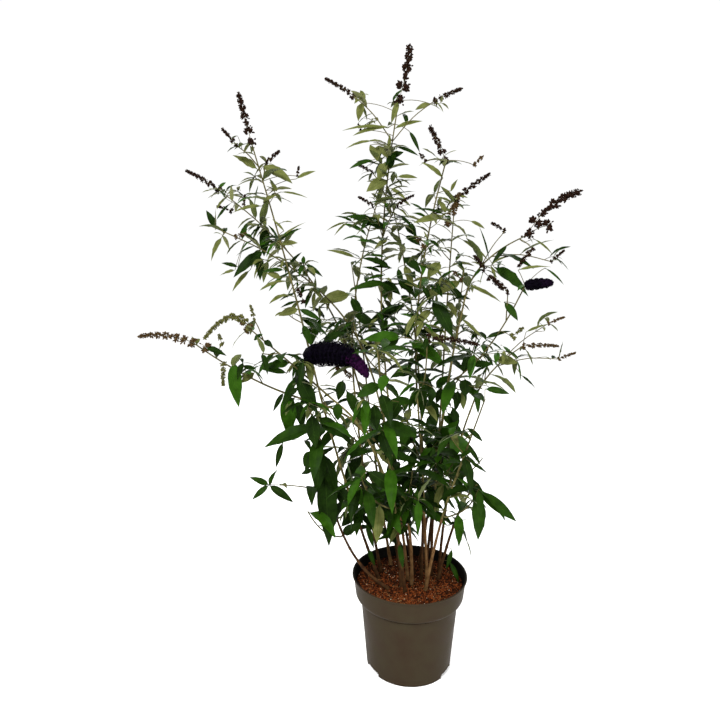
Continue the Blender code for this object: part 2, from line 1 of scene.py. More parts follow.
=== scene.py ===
"""Looks of the butterfly bush in its nursery pot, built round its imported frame.

The canes, stems, twigs and main leaves grow by the source's seeded rule, written again
here on smooth curves. A second seeded rule carries them on, within the same reach, to
short side shoots, finer leaves, the capsules of the spent spikes and the florets of the
blooms. Leaves have an upper and an under sheet, and each tint is a piece of its own.
Tables give places in centimetres: +X to the right of the front view, +Y to its back.
"""
import json
import math
import random
from collections import defaultdict, namedtuple

import bmesh
import bpy
import numpy as np
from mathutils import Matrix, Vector, noise

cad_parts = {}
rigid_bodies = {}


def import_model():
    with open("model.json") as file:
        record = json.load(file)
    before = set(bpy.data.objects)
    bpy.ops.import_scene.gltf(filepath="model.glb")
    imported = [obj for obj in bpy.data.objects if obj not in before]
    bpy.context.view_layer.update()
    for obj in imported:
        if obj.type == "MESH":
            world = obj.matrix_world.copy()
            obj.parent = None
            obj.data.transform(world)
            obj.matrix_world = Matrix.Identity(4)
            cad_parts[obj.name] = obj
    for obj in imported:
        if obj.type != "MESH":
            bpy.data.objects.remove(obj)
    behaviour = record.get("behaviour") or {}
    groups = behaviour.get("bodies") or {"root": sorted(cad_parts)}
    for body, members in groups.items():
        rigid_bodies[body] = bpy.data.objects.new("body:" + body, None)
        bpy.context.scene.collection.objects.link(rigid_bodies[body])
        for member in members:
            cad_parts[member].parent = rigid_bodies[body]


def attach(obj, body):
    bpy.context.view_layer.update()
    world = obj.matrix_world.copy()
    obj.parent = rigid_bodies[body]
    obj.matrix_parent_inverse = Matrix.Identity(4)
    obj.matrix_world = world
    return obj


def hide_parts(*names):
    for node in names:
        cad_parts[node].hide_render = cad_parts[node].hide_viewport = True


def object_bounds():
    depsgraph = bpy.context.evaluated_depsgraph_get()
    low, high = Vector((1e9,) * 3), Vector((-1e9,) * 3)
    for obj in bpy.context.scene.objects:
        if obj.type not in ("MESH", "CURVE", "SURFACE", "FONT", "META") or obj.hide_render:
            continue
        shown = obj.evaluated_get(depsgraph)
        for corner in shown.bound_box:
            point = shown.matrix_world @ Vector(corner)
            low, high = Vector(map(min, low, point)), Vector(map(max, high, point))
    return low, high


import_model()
CAD_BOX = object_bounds()

CM = 0.01
MM = 0.001
GAP = 0.3 * MM
UP = Vector((0.0, 0.0, 1.0))

# Pot, as in the source, with finer rounds
POT_HEIGHT = 25.6 * CM
RIM_RADIUS = 15.35 * CM
COLLAR_RADIUS = 15.0 * CM
COLLAR_FOOT_RADIUS = 14.5 * CM
COLLAR_DEPTH = 6.4 * CM
GROOVE_DEPTH = 1.5 * MM
GROOVE_HEIGHT = 3.4 * MM
BODY_RADIUS = 13.0 * CM
BASE_RADIUS = 11.4 * CM
BASE_ROUNDING = 3 * MM
RIM_LIP = 4 * MM
WALL = 2.2 * MM
FLOOR = 4 * MM
NOTCHES = 3
NOTCH_FIRST = math.radians(-32)
NOTCH_WIDTH = 5.6 * CM
NOTCH_HEIGHT = 1.2 * CM
NOTCH_DEPTH = 1.2 * CM
POT_SIDES = 144
ROUND_POINTS = 6
NOTCH_ROUNDING = 3 * MM

# Potting soil
SOIL_TOP = 23.2 * CM
SOIL_RINGS = 30
SOIL_SIDES = 120
SOIL_RELIEF = 5 * MM
SOIL_LUMP = 2.4 * CM
SOIL_SKIRT = 1.5 * CM
GRAIN_MARGIN = 2 * MM
# Crumbs: tint, count, smallest and largest size, and how far they keep to the front; the dark
# peat keeps to the back and the paler crumbs to the front, a painted shade at the back of the soil
GRAIN_KINDS = (
    ("coir", 2600, (2.0 * MM, 6.5 * MM), 0.45),
    ("rust", 2100, (2.2 * MM, 6.0 * MM), 0.9),
    ("peat", 3000, (2.0 * MM, 7.0 * MM), -0.7),
    ("speck", 130, (2.0 * MM, 4.2 * MM), 0.3),
)
STRAWS = 120
STRAW_LENGTH = 2.2 * CM
STRAW_RADIUS = 0.4 * MM

# Canes
CANE_STEPS = 7
CANE_STEP_GROWTH = 1.4
CANE_SMOOTHING = 16
CANE_SIDES = 12
CANE_FOOT_RADIUS = 4.6 * MM
CANE_TIP_RADIUS = 2.6 * MM
CANE_FLARE = 1.8 * MM
FLARE_HEIGHT = 2.5 * CM
BARK_RELIEF = 0.05
BARK_RIDGES = 5
BARK_SLIMNESS = 0.86
BARK_WANDER = 1.3 * CM
CANE_NODE_SPACING = 6.5 * CM
YOUNG_WOOD = 46 * CM
NODE_SWELL = 0.12
NODE_SWELL_LENGTH = 6 * MM

# Sizes that change with height are given as two values, at LOW and at HIGH
LOW = 40 * CM
HIGH = 130 * CM

# Stems and twigs of the masses
STEM_SIDES = 8
STEM_STEPS = 5
STEM_SMOOTHING = 5
STEM_RADIUS = 2.2 * MM
STEM_LIFT = 0.6
STEM_CARRY = 0.45
TWIG_SIDES = 6
TWIG_SMOOTHING = 4
TWIG_RADIUS = 1.5 * MM
TWIG_END = 0.75
TWIG_BOW = 0.07
TWIG_LENGTH = (7.0 * CM, 4.5 * CM)
TWIG_LENGTH_SPREAD = (0.7, 1.2)
TWIG_RISE = (0.6, 1.2)
TWIG_CHANCE = (0.44, 0.26)
NODE_SPACING = (6.0 * CM, 11 * CM)
TURN_SPREAD = 0.3

# Leaves
LEAF_LENGTH = (17.5 * CM, 11 * CM)
LEAF_LENGTH_SPREAD = (0.8, 1.15)
LEAF_WIDTH = (0.32, 0.26)
LEAF_WIDTH_SPREAD = (0.9, 1.1)
LEAF_DROOP = (0.9, 0.55)
LEAF_DROOP_SPREAD = (0.5, 1.3)
LEAF_RISE = (0.15, 0.75)
LEAF_RISE_SPREAD = (-0.2, 0.3)
LEAF_PLACE = 0.9
LEAF_LAST_PLACE = 0.98
LEAF_TAPER = 0.3
SMALL_LEAF = 0.7
FOOT_DROOP = 0.35
STEEP = 0.2

# Space that a mass keeps to
MASS_REACH = (19 * CM, 13 * CM)
LOWEST_LEAF = 31 * CM
BOX_MARGIN = 5 * MM

# Flower spikes
CLUMP_REACH = 2.1
CLUMP_DENSITY = 2.6
CLUMP_TAPER = 0.6
CLUMP_GAPS = (1.25, 0.46)
CLUMP_SPREAD = (0.1, 0.66)
SPIKE_START = 0.4
SPIKE_END = 0.5
SPIKE_BUD = 0.22
CLUMP_HEIGHT = (0.36, 0.62)
CLUMP_CORE = 0.28
CAPSULE_SHARE = 0.13
CAPSULE_RADIUS = (1.1 * MM, 2.6 * MM)
CAPSULE_SIDES = 5
CAPSULE_SLIMNESS = 1.45
CAPSULE_RINGS = ((-0.35, 0.9), (0.4, 0.75))

SEED = 41

# How full the finer growth of a mass is; the others count 1
FULLNESS = {
    "foliage_middle_top": 2.5,
    "foliage_middle_thin_top": 1.9,
    "foliage_left_bow_top": 1.6,
    "foliage_right_thin_top": 2.0,
    "foliage_left_high_top": 1.0,
    "foliage_left_rear_top": 1.3,
    "foliage_right_rear_top": 1.3,
    "foliage_left_leafy_top": 1.3,
    "foliage_middle_side": 1.4,
    "foliage_right_thin_side": 1.3,
    "foliage_left_high_bloom": 0.5,
    "foliage_left_arch_top": 0.6,
    "foliage_far_left_top": 0.7,
    "foliage_right_mid_top": 0.6,
    "foliage_right_mid_low": 0.35,
    "foliage_right_low_top": 0.3,
    "foliage_right_rear_low": 0.45,
    "foliage_right_rear_side": 0.6,
    "foliage_right_high_low": 0.5,
    "foliage_left_rim_side": 0.3,
    "foliage_left_rim_top": 0.7,
    "foliage_left_star": 0.1,
    "foliage_left_high_low": 0.45,
    "foliage_front_right_top": 0.8,
}

# Finer growth: true leaf sizes, closer nodes, short side shoots
TRUE_SIZE = (0.74, 0.80)
TRUE_WIDTH = (0.66, 0.76)
FINE_SEED = 900
FINE_LENGTH = (12.5 * CM, 8.6 * CM)
FINE_WIDTH = (0.28, 0.23)
FINE_SPACING = (6.5 * CM, 5.6 * CM)
FINE_LEAF_CHANCE = (0.5, 0.62)
SIDE_CHANCE = (0.16, 0.30)
SIDE_LENGTH = (5.5 * CM, 3.2 * CM)
SIDE_SPREAD = (0.4, 1.3)
SIDE_RADIUS = 0.9 * MM
SIDE_LEAF = (0.45, 0.7)
CANE_LEAF_FOOT = 33 * CM
TUFT_LEAVES = 3

# Leaf sheets
SHEET_ROWS = 10
SHEET_COLUMNS = 4
SMALL_ROWS = 6
SMALL_COLUMNS = 2
SMALL_SHEET = 4.5 * CM
LEAF_THICKNESS = 0.6 * MM
FLIPPED = [0, 3, 2, 1]
ROW_GROWTH = 1.15
TIP_DROOP = 1.5
LEAF_POINT = 0.85
RIB_HALF = 0.45 * MM
RIB_LIFT = 0.15 * MM
PETIOLE = 0.06
PETIOLE_HALF = 0.7 * MM
BASE_POWER = 0.62
TIP_POWER = 1.05
FOLD_SPREAD = (0.08, 0.34)
TWIST_SPREAD = 0.9
WAVE_SPREAD = 0.1
WAVES = 3.5

# Each cane: its foot on the soil (x, y), its middle and its tip (x, y, z)
CANES = {
    "cane_middle": ((1.5, 2.5), (-3.6, 3, 54), (-7, 4, 84)),
    "cane_left_bow": ((-7.5, 4.5), (-12, 6, 50), (-15, 7.8, 76)),
    "cane_middle_thin": ((3.2, 0.3), (3.5, 2, 49), (2.5, 4.2, 74)),
    "cane_right_thin": ((4.6, -1.6), (3, -2.6, 50), (0.8, -3.9, 77)),
    "cane_right_rear": ((5.0, 5.2), (7.6, 7.6, 51), (9.4, 11.5, 77)),
    "cane_right_high": ((6.2, 2.4), (7.8, 2.8, 62), (13.5, 3.3, 99)),
    "cane_right_low": ((7.8, 0.2), (12, -1, 41), (16.4, -2.5, 50.5)),
    "cane_right_mid": ((8.6, 4.4), (11.5, 5.4, 50), (17.6, 8, 71)),
    "cane_left_high": ((-8.2, 0.6), (-18.5, -0.5, 56), (-25.8, -1.0, 85)),
    "cane_left_rear": ((-2.0, 6.5), (-8, 9.6, 52), (-15, 13, 79)),
    "cane_left_leafy": ((-0.4, 0.0), (-4, 2, 51), (-9.5, 3.9, 77)),
    "cane_far_left": ((0.4, -2.4), (-6.6, -3.9, 59), (-29, -7.4, 75.5)),
    "cane_left_arch": ((-2.4, -3.4), (-8, -6.6, 57), (-21, -12, 77)),
    "cane_left_rim": ((-6.0, -4.2), (-16.8, -7.3, 38), (-22, -11.5, 62)),
    "cane_back_left": ((-4.5, 8.0), (-8.5, 14.5, 49), (-11.5, 23, 74)),
    "cane_back_right": ((3.6, 8.6), (8.5, 15.5, 49), (13.5, 25, 74)),
    "cane_front_left": ((-1.6, -6.0), (-4.4, -12.5, 45), (-7, -21, 65)),
    "cane_front_right": ((3.8, -5.0), (6.2, -10.6, 43), (8.7, -18, 59)),
}
TAN_CANES = ("cane_right_thin", "cane_left_leafy", "cane_front_right", "cane_far_left", "cane_back_left")

# Each mass: its cane, the height where it leaves it (TIP: it carries the cane on),
# the end of its stem, and the tip and radius of the spike there (None: no spike)
TIP = None
MASSES = {
    "foliage_middle_top": ("cane_middle", TIP, (-3.8, 6, 147), (-1.2, 5, 160), 1.3),
    "foliage_left_bow_top": ("cane_left_bow", TIP, (-8.3, 20, 125), (-7, 21, 129), 0.4),
    "foliage_middle_thin_top": ("cane_middle_thin", TIP, (-4.9, 14, 124), (-6, 15, 128), 0.4),
    "foliage_right_thin_top": ("cane_right_thin", TIP, (5.9, -10, 130), (1.9, -11, 137.4), 0.7),
    "foliage_right_rear_top": ("cane_right_rear", TIP, (13.6, 24, 125.5), (24, 26, 133.2), 0.8),
    "foliage_right_high_top": ("cane_right_high", TIP, (28.8, 4, 114.6), (42.7, 5, 125.6), 1.3),
    "foliage_right_low_top": ("cane_right_low", TIP, (20.5, -6, 60), None, 0),
    "foliage_right_mid_top": ("cane_right_mid", TIP, (30.7, 10, 85.6), (41.2, 12, 85.3), 0.6),
    "foliage_left_high_top": ("cane_left_high", TIP, (-38.9, -2, 135.5), (-41.5, -3, 146.5), 0.9),
    "foliage_left_rear_top": ("cane_left_rear", TIP, (-52.6, 22, 128), (-62.8, 25, 133.8), 0.7),
    "foliage_left_leafy_top": ("cane_left_leafy", TIP, (-52, 14, 117), (-54, 15, 119), 0.3),
    "foliage_far_left_top": ("cane_far_left", TIP, (-52.1, -11, 89.1), (-64.8, -12, 90.7), 0.8),
    "foliage_left_arch_top": ("cane_left_arch", TIP, (-37.3, -19, 93.2), (-46.8, -22, 91.2), 0.7),
    "foliage_left_rim_top": ("cane_left_rim", TIP, (-28, -13.5, 80), None, 0),
    "foliage_back_left_top": ("cane_back_left", TIP, (-16, 40, 108), (-17, 44, 116), 0.7),
    "foliage_back_right_top": ("cane_back_right", TIP, (20, 42, 106), (22, 46, 114), 0.7),
    "foliage_front_left_top": ("cane_front_left", TIP, (-10, -36, 91), None, 0),
    "foliage_front_right_top": ("cane_front_right", TIP, (12, -30, 80), None, 0),
    "foliage_left_rim_side": ("cane_left_rim", 40, (-26, -15, 50), None, 0),
    "foliage_left_star": ("cane_left_rim", 52, (-33, -10, 54), None, 0),
    "foliage_left_high_low": ("cane_left_high", 50, (-28, 4, 61), None, 0),
    "foliage_left_arch_low": ("cane_left_arch", 47, (-14, -16, 57), None, 0),
    "foliage_far_left_low": ("cane_far_left", 48, (-1, -15, 60), None, 0),
    "foliage_front_left_low": ("cane_front_left", 50, (-13, -21, 60), None, 0),
    "foliage_front_right_low": ("cane_front_right", 47, (14, -19, 57), None, 0),
    "foliage_right_thin_low": ("cane_right_thin", 50, (10, -12, 62), None, 0),
    "foliage_right_high_low": ("cane_right_high", 58, (20, -4, 71), None, 0),
    "foliage_right_mid_low": ("cane_right_mid", 48, (23, 9, 58), None, 0),
    "foliage_right_rear_low": ("cane_right_rear", 48, (15, 21, 58), None, 0),
    "foliage_back_right_low": ("cane_back_right", 44, (9, 27, 56), None, 0),
    "foliage_back_left_low": ("cane_back_left", 44, (-15, 24, 56), None, 0),
    "foliage_left_rear_low": ("cane_left_rear", 52, (-16, 17, 64), None, 0),
    "foliage_left_bow_low": ("cane_left_bow", 60, (-25, 12, 74), None, 0),
    "foliage_middle_thin_low": ("cane_middle_thin", 56, (-2, -8, 70), None, 0),
    "foliage_middle_side": ("cane_middle", 79, (-15, 0, 93), None, 0),
    "foliage_right_thin_side": ("cane_right_thin", 75, (2, -13, 90.6), (14.5, -12, 88.8), 0.7),
    "foliage_right_rear_side": ("cane_right_rear", 72, (20, 18, 88), None, 0),
    "foliage_right_high_side": ("cane_right_high", 77, (23.4, -15, 102.4), (28.9, -17, 103.1), 1.1),
    "foliage_left_high_bloom": ("cane_left_high", 79, (-25.2, -14, 86.5), (-11.8, -24, 83.5), 2.4),
    "foliage_left_rear_side": ("cane_left_rear", 75, (-19, 23, 90), None, 0),
}

# The spikes that fork from a stem: mass, share of the way up it, spike foot, tip, radius
SIDE_SPIKES = (
    ("foliage_middle_top", 0.86, (-14.8, 9, 149), (-22.3, 11, 153.9), 0.6),
    ("foliage_middle_top", 0.86, (4.6, 3, 146.2), (11.2, 1, 148.6), 0.6),
    ("foliage_middle_top", 0.66, (-10.2, 8, 130.5), (-14.3, 11, 133), 0.4),
    ("foliage_middle_top", 0.5, (-10.2, 2, 121.7), (-13.8, -2, 123.2), 0.4),
    ("foliage_middle_top", 0.5, (-4.2, 2, 121.7), (-0.4, -2, 123.6), 0.4),
    ("foliage_right_high_top", 0.42, (16.8, -3, 106), (13.2, -8, 109.3), 0.5),
    ("foliage_right_high_top", 0.42, (23.7, 6, 115.7), (20.5, 8, 118), 0.5),
    ("foliage_right_high_top", 0.92, (29.4, 1, 111.1), (25.5, -1, 106.6), 0.6),
    ("foliage_right_high_top", 0.6, (34.8, 3, 108), (37.8, 2, 110.8), 0.4),
    ("foliage_right_mid_top", 0.5, (37.6, 11, 91.6), (42.4, 12, 93.3), 0.4),
    ("foliage_right_mid_top", 0.6, (39.5, 7, 82.5), (44.3, 7.5, 84.2), 0.4),
    ("foliage_left_high_top", 0.9, (-41.5, -6, 134), (-44.5, -8, 137.5), 0.5),
    ("foliage_left_high_top", 0.84, (-36, 1, 131.5), (-33, 4, 135), 0.5),
    ("foliage_left_arch_top", 0.85, (-36.6, -17, 95), (-37.4, -17.5, 98.5), 0.4),
    ("foliage_right_high_side", 0.8, (19.4, -16, 101), (15.2, -18, 104.5), 0.5),
)

# The spikes that bend: mass, and a point on the way from their foot to their tip
BENT_SPIKES = {
    "foliage_middle_top": (-2.1, 5.5, 153.5),
    "foliage_right_high_top": (34.6, 4.5, 121.8),
    "foliage_far_left_top": (-58.3, -11.5, 91.0),
    "foliage_left_arch_top": (-41.2, -20, 96),
    "foliage_left_high_bloom": (-16.5, -20.5, 87.5),
}

# The open blooms: mass, how far up its spike the indigo and the violet florets reach, and
# how much slimmer it is at its tip
BLOOMS = {
    "foliage_left_high_bloom": (0.6, 0.69, 0.5),
    "foliage_right_high_side": (0.6, 1.2, 0.1),
}
BLOOM_FULLNESS = 1.12
BLOOM_START = 0.09
BLOOM_CORE = 0.84
FLORETS_PER_AREA = 3.4e5

# The spikes at the back that would stand in the open sky of the photo are left out
NO_SPIKE = ("foliage_back_left_top", "foliage_back_right_top")

# Tints of the capsules, by mass; the others are dark
SPIKE_TINTS = {
    "foliage_right_mid_top": "umber",
    "foliage_left_arch_top": "olive",
    "foliage_far_left_top": "umber",
    "foliage_left_leafy_top": "olive",
    "foliage_left_bow_top": "olive",
    "foliage_middle_thin_top": "olive",
}

# The leaves that stand out, by their place in the camera's picture: root (x, y), tip (x, y),
# how far the tip leans to the camera and the leaf's width in centimetres, and its tint, which is
# partly the leaf's own green and partly painted light: deep where it lies in shade, bright where lit
FEATURED_LEAVES = (
    ((287, 390), (289, 438), 1, 4.0, "bright"),
    ((318, 424), (263, 448), -1, 3.6, "mid"),
    ((322, 467), (329, 548), 4, 4.9, "deep"),
    ((319, 450), (316, 494), 3, 3.2, "deep"),
    ((322, 446), (304, 474), 2, 2.8, "deep"),
    ((324, 452), (338, 500), 2, 3.2, "deep"),
    ((312, 414), (316, 449), 3, 3.4, "deep"),
    ((346, 390), (365, 426), 2, 2.9, "mid"),
    ((343, 380), (338, 401), 2, 2.7, "deep"),
    ((298, 376), (318, 415), 2, 3.6, "deep"),
    ((319, 417), (345, 439), 2, 3.0, "mid"),
    ((380, 424), (417, 437), 4, 3.3, "mid"),
    ((381, 430), (391, 462), 1, 3.2, "deep"),
    ((412, 401), (383, 404), 4, 2.2, "mid"),
    ((438, 439), (459, 420), 2, 3.0, "bright"),
    ((446, 444), (462, 497), 3, 4.4, "deep"),
    ((429, 398), (437, 426), 1, 2.8, "deep"),
    ((345, 453), (372, 451), 3, 2.4, "mid"),
    ((371, 451), (425, 465), 2, 2.2, "mid"),
    ((367, 471), (403, 496), 2, 3.0, "deep"),
    ((421, 486), (390, 479), 2, 3.0, "deep"),
    ((412, 492), (400, 509), 2, 2.0, "felted"),
    ((417, 487), (418, 537), 3, 2.2, "bright"),
    ((424, 511), (448, 526), 2, 2.2, "bright"),
    ((438, 480), (447, 505), 2, 2.6, "mid"),
    ((367, 512), (410, 525), 4, 3.0, "deep"),
    ((412, 528), (376, 541), 4, 2.5, "mid"),
    ((344, 533), (361, 523), 2, 2.4, "deep"),
    ((459, 515), (459, 548), 1, 2.6, "bright"),
    ((475, 492), (478, 541), 1, 3.4, "mid"),
    ((478, 493), (517, 522), 1, 2.7, "mid"),
    ((467, 428), (483, 442), 0, 1.2, "deep"),
    ((462, 439), (481, 466), 0, 1.3, "deep"),
    ((485, 389), (510, 394), 0, 1.5, "mid"),
    ((436, 388), (453, 375), 2, 3.0, "bright"),
    ((412, 371), (390, 378), 2, 3.0, "deep"),
    ((385, 375), (381, 393), 2, 2.4, "bright"),
    ((383, 386), (356, 398), 2, 2.4, "mid"),
    ((417, 371), (434, 397), 2, 3.0, "deep"),
    ((465, 379), (465, 397), 2, 3.2, "deep"),
    ((283, 442), (276, 468), 0, 1.6, "deep"),
    ((292, 364), (259, 369), 0, 2.8, "mid"),
    ((295, 376), (309, 359), 1, 2.4, "deep"),
    ((353, 483), (362, 507), 2, 2.6, "bright"),
    ((335, 485), (354, 512), 2, 3.2, "deep"),
    ((308, 453), (304, 467), 1, 2.4, "mid"),
    ((269, 485), (249, 477), 1, 1.6, "mid"),
    ((269, 485), (278, 469), 1, 1.5, "mid"),
    ((269, 485), (294, 503), 1, 2.0, "deep"),
    ((269, 485), (252, 500), 1, 1.5, "mid"),
    ((234, 361), (239, 408), 1, 3.4, "bright"),
    ((254, 373), (241, 383), 1, 1.9, "felted"),
    ((303, 325), (312, 347), 1, 1.9, "mid"),
    ((322, 343), (346, 332), 4, 2.6, "deep"),
    ((494, 267), (529, 297), 2, 4.0, "mid"),
    ((504, 302), (518, 321), 1, 1.8, "mid"),
    ((509, 247), (491, 265), 1, 1.2, "deep"),
    ((471, 285), (502, 303), 1, 1.4, "felted"),
    ((461, 239), (489, 261), 1, 1.2, "felted"),
    ((350, 295), (318, 303), 2, 3.5, "felted"),
    ((298, 308), (278, 316), 1, 2.2, "felted"),
    ((305, 264), (323, 277), 1, 1.3, "mid"),
    ((266, 230), (264, 257), 2, 2.9, "deep"),
    ((260, 256), (260, 281), 2, 2.2, "deep"),
    ((267, 250), (233, 278), 2, 3.1, "deep"),
    ((257, 169), (232, 155), 1, 2.6, "felted"),
    ((263, 166), (293, 184), 1, 2.8, "felted"),
    ((263, 203), (278, 195), 1, 2.2, "felted"),
    ((262, 206), (232, 213), 1, 1.5, "felted"),
    ((222, 237), (211, 262), 1, 1.8, "felted"),
    ((218, 228), (206, 210), 0, 1.8, "deep"),
    ((278, 245), (298, 243), 1, 1.4, "felted"),
    ((380, 225), (345, 216), 2, 2.4, "mid"),
    ((386, 229), (352, 218), 3, 2.8, "deep"),
    ((387, 240), (374, 249), 1, 1.8, "felted"),
    ((390, 268), (361, 258), 2, 2.2, "deep"),
    ((386, 283), (350, 290), 2, 2.2, "mid"),
    ((382, 279), (401, 295), 2, 2.8, "deep"),
    ((404, 258), (422, 275), 2, 3.2, "deep"),
    ((404, 264), (413, 289), 3, 2.2, "felted"),
    ((402, 282), (429, 293), 3, 1.6, "felted"),
    ((398, 280), (416, 299), 2, 3.2, "deep"),
    ((452, 282), (427, 298), 2, 3.0, "felted"),
    ((451, 288), (465, 301), 1, 1.8, "deep"),
    ((432, 299), (453, 338), 3, 3.4, "deep"),
    ((431, 309), (413, 328), 2, 2.0, "felted"),
    ((451, 302), (457, 319), 1, 2.0, "felted"),
    ((351, 297), (364, 323), 2, 2.6, "deep"),
    ((352, 315), (378, 331), 2, 2.8, "deep"),
    ((406, 305), (366, 324), 3, 2.6, "deep"),
    ((401, 337), (362, 340), 3, 2.8, "bright"),
    ((400, 338), (371, 361), 3, 2.2, "deep"),
    ((409, 341), (446, 367), 3, 3.4, "bright"),
    ((418, 331), (446, 331), 2, 1.2, "deep"),
    ((464, 372), (470, 346), 2, 2.4, "deep"),
    ((472, 368), (494, 364), 1, 1.8, "mid"),
    ((496, 360), (518, 363), 1, 3.0, "felted"),
    ((300, 318), (330, 338), 2, 2.4, "mid"),
    ((385, 182), (366, 192), 2, 3.2, "felted"),
    ((389, 158), (378, 146), 1, 2.2, "felted"),
    ((390, 166), (397, 150), 1, 2.4, "mid"),
    ((373, 160), (349, 169), 1, 1.3, "mid"),
    ((389, 127), (352, 136), 1, 1.3, "felted"),
    ((394, 129), (423, 121), 1, 1.2, "felted"),
    ((443, 178), (421, 162), 1, 1.5, "felted"),
    ((397, 177), (418, 178), 1, 1.1, "felted"),
    ((444, 217), (413, 223), 1, 1.7, "felted"),
    ((362, 103), (358, 121), 0, 1.9, "felted"),
    ((396, 103), (391, 124), 0, 1.5, "felted"),
    ((431, 104), (415, 110), 0, 1.5, "felted"),
    ((396, 543), (403, 569), 1, 1.4, "mid"),
    ((370, 548), (375, 566), 1, 1.3, "mid"),
    ((452, 549), (446, 570), 1, 1.3, "mid"),
    ((450, 562), (459, 583), 1, 1.3, "mid"),
    ((277, 191), (269, 182), 1, 1.6, "felted"),
    ((281, 192), (308, 198), 1, 0.7, "felted"),
    ((296, 179), (316, 171), 1, 1.0, "felted"),
    ((256, 245), (236, 256), 0, 0.8, "deep"),
    ((238, 267), (221, 263), 0, 1.3, "deep"),
    ((235, 270), (219, 276), 0, 1.4, "felted"),
    ((250, 270), (232, 292), 0, 1.4, "felted"),
    ((284, 270), (262, 272), 1, 1.2, "mid"),
    ((281, 278), (266, 273), 1, 1.6, "felted"),
    ((277, 241), (306, 222), 1, 0.7, "felted"),
    ((278, 241), (302, 228), 1, 0.9, "mid"),
    ((284, 231), (272, 219), 1, 0.6, "felted"),
    ((292, 264), (302, 252), 1, 1.0, "deep"),
    ((310, 269), (301, 278), 1, 1.3, "deep"),
    ((292, 296), (279, 301), 1, 0.9, "deep"),
    ((296, 302), (280, 308), 1, 0.9, "mid"),
    ((254, 340), (263, 334), 1, 1.3, "mid"),
    ((262, 343), (273, 347), 1, 1.4, "deep"),
    ((206, 347), (227, 356), 1, 1.6, "deep"),
    ((390, 188), (407, 201), 1, 1.2, "felted"),
    ((444, 214), (414, 209), 1, 0.8, "deep"),
    ((452, 203), (434, 197), 1, 1.4, "felted"),
    ((457, 196), (468, 198), 1, 1.1, "felted"),
    ((451, 191), (458, 179), 1, 1.0, "felted"),
    ((470, 221), (485, 229), 0, 1.1, "felted"),
    ((490, 260), (479, 226), 0, 0.5, "deep"),
    ((534, 239), (553, 255), 0, 0.7, "felted"),
    ((518, 270), (552, 267), 0, 1.0, "felted"),
    ((545, 268), (564, 285), 0, 0.5, "mid"),
    ((462, 318), (482, 338), 1, 0.9, "felted"),
    ((486, 338), (512, 331), 1, 1.3, "deep"),
    ((526, 332), (549, 324), 0, 0.9, "felted"),
    ((521, 375), (536, 389), 0, 0.9, "deep"),
    ((396, 147), (419, 156), 1, 1.0, "deep"),
    ((409, 131), (420, 153), 1, 1.0, "deep"),
    ((393, 160), (407, 165), 1, 1.3, "mid"),
    ((396, 154), (385, 167), 2, 2.4, "deep"),
    ((391, 160), (404, 152), 1, 1.6, "deep"),
    ((388, 128), (341, 131), 1, 1.2, "felted"),
    ((372, 141), (345, 149), 1, 1.1, "felted"),
    ((370, 145), (377, 161), 1, 1.7, "felted"),
    ((353, 222), (334, 216), 1, 1.3, "mid"),
    ((347, 222), (326, 231), 1, 0.7, "felted"),
    ((348, 222), (334, 236), 1, 0.7, "felted"),
    ((384, 272), (361, 267), 2, 1.3, "deep"),
    ((374, 404), (377, 431), 1, 2.6, "deep"),
    ((399, 402), (388, 423), 1, 2.6, "deep"),
    ((298, 402), (303, 429), 1, 2.6, "deep"),
    ((458, 390), (455, 412), 1, 2.2, "deep"),
    ((366, 522), (374, 549), 1, 1.5, "mid"),
    ((470, 462), (488, 474), 1, 1.0, "deep"),
    ((471, 450), (460, 458), 1, 1.2, "mid"),
    ((256, 369), (240, 366), 1, 1.0, "mid"),
    ((287, 373), (260, 369), 1, 1.4, "mid"),
    ((312, 470), (301, 474), 1, 1.4, "deep"),
    ((428, 418), (436, 438), 1, 2.6, "deep"),
    ((444, 414), (458, 430), 1, 2.2, "mid"),
    ((398, 268), (402, 290), 1, 1.6, "mid"),
    ((405, 225), (416, 236), 1, 2.0, "deep"),
    ((446, 212), (437, 200), 1, 1.8, "felted"),
    ((386, 162), (378, 182), 1, 2.8, "felted"),
    ((378, 146), (377, 162), 1, 2.2, "felted"),
    ((356, 258), (326, 250), 1, 1.2, "felted"),
    ((411, 222), (416, 243), 1, 1.4, "deep"),
    ((357, 512), (341, 527), 2, 2.6, "deep"),
    ((282, 396), (273, 412), 1, 1.2, "deep"),
    ((436, 412), (424, 434), 1, 2.6, "deep"),
    ((433, 388), (430, 404), 1, 2.2, "deep"),
    ((386, 284), (385, 302), 1, 1.8, "mid"),
    ((312, 330), (300, 334), 1, 1.0, "deep"),
    ((337, 322), (325, 332), 1, 1.2, "deep"),
    ((337, 402), (338, 421), 1, 2.4, "mid"),
    ((452, 408), (458, 430), 1, 2.6, "deep"),
    ((440, 388), (436, 404), 1, 2.0, "deep"),
    ((388, 288), (391, 303), 1, 1.8, "felted"),
    ((440, 262), (427, 279), 2, 2.6, "felted"),
    ((461, 281), (433, 297), 3, 2.4, "felted"),
    ((405, 236), (421, 246), 1, 1.8, "deep"),
    ((427, 218), (411, 213), 1, 1.2, "mid"),
    ((386, 257), (361, 256), 1, 1.0, "mid"),
    ((392, 268), (372, 267), 1, 0.9, "deep"),
    ((385, 275), (363, 281), 1, 1.2, "mid"),
    ((302, 308), (322, 321), 1, 1.5, "mid"),
    ((303, 318), (315, 328), 1, 1.2, "deep"),
    ((423, 286), (431, 305), 2, 1.6, "deep"),
    ((401, 296), (412, 304), 1, 2.0, "mid"),
)
FEATURED_ARCH = 0.3
FEATURED_FACING = (0.0, -0.8, 0.6)
FRONT_BIAS = 25.0
ROOT_GRASP = 4.0
STALK_RADIUS = 0.8 * MM

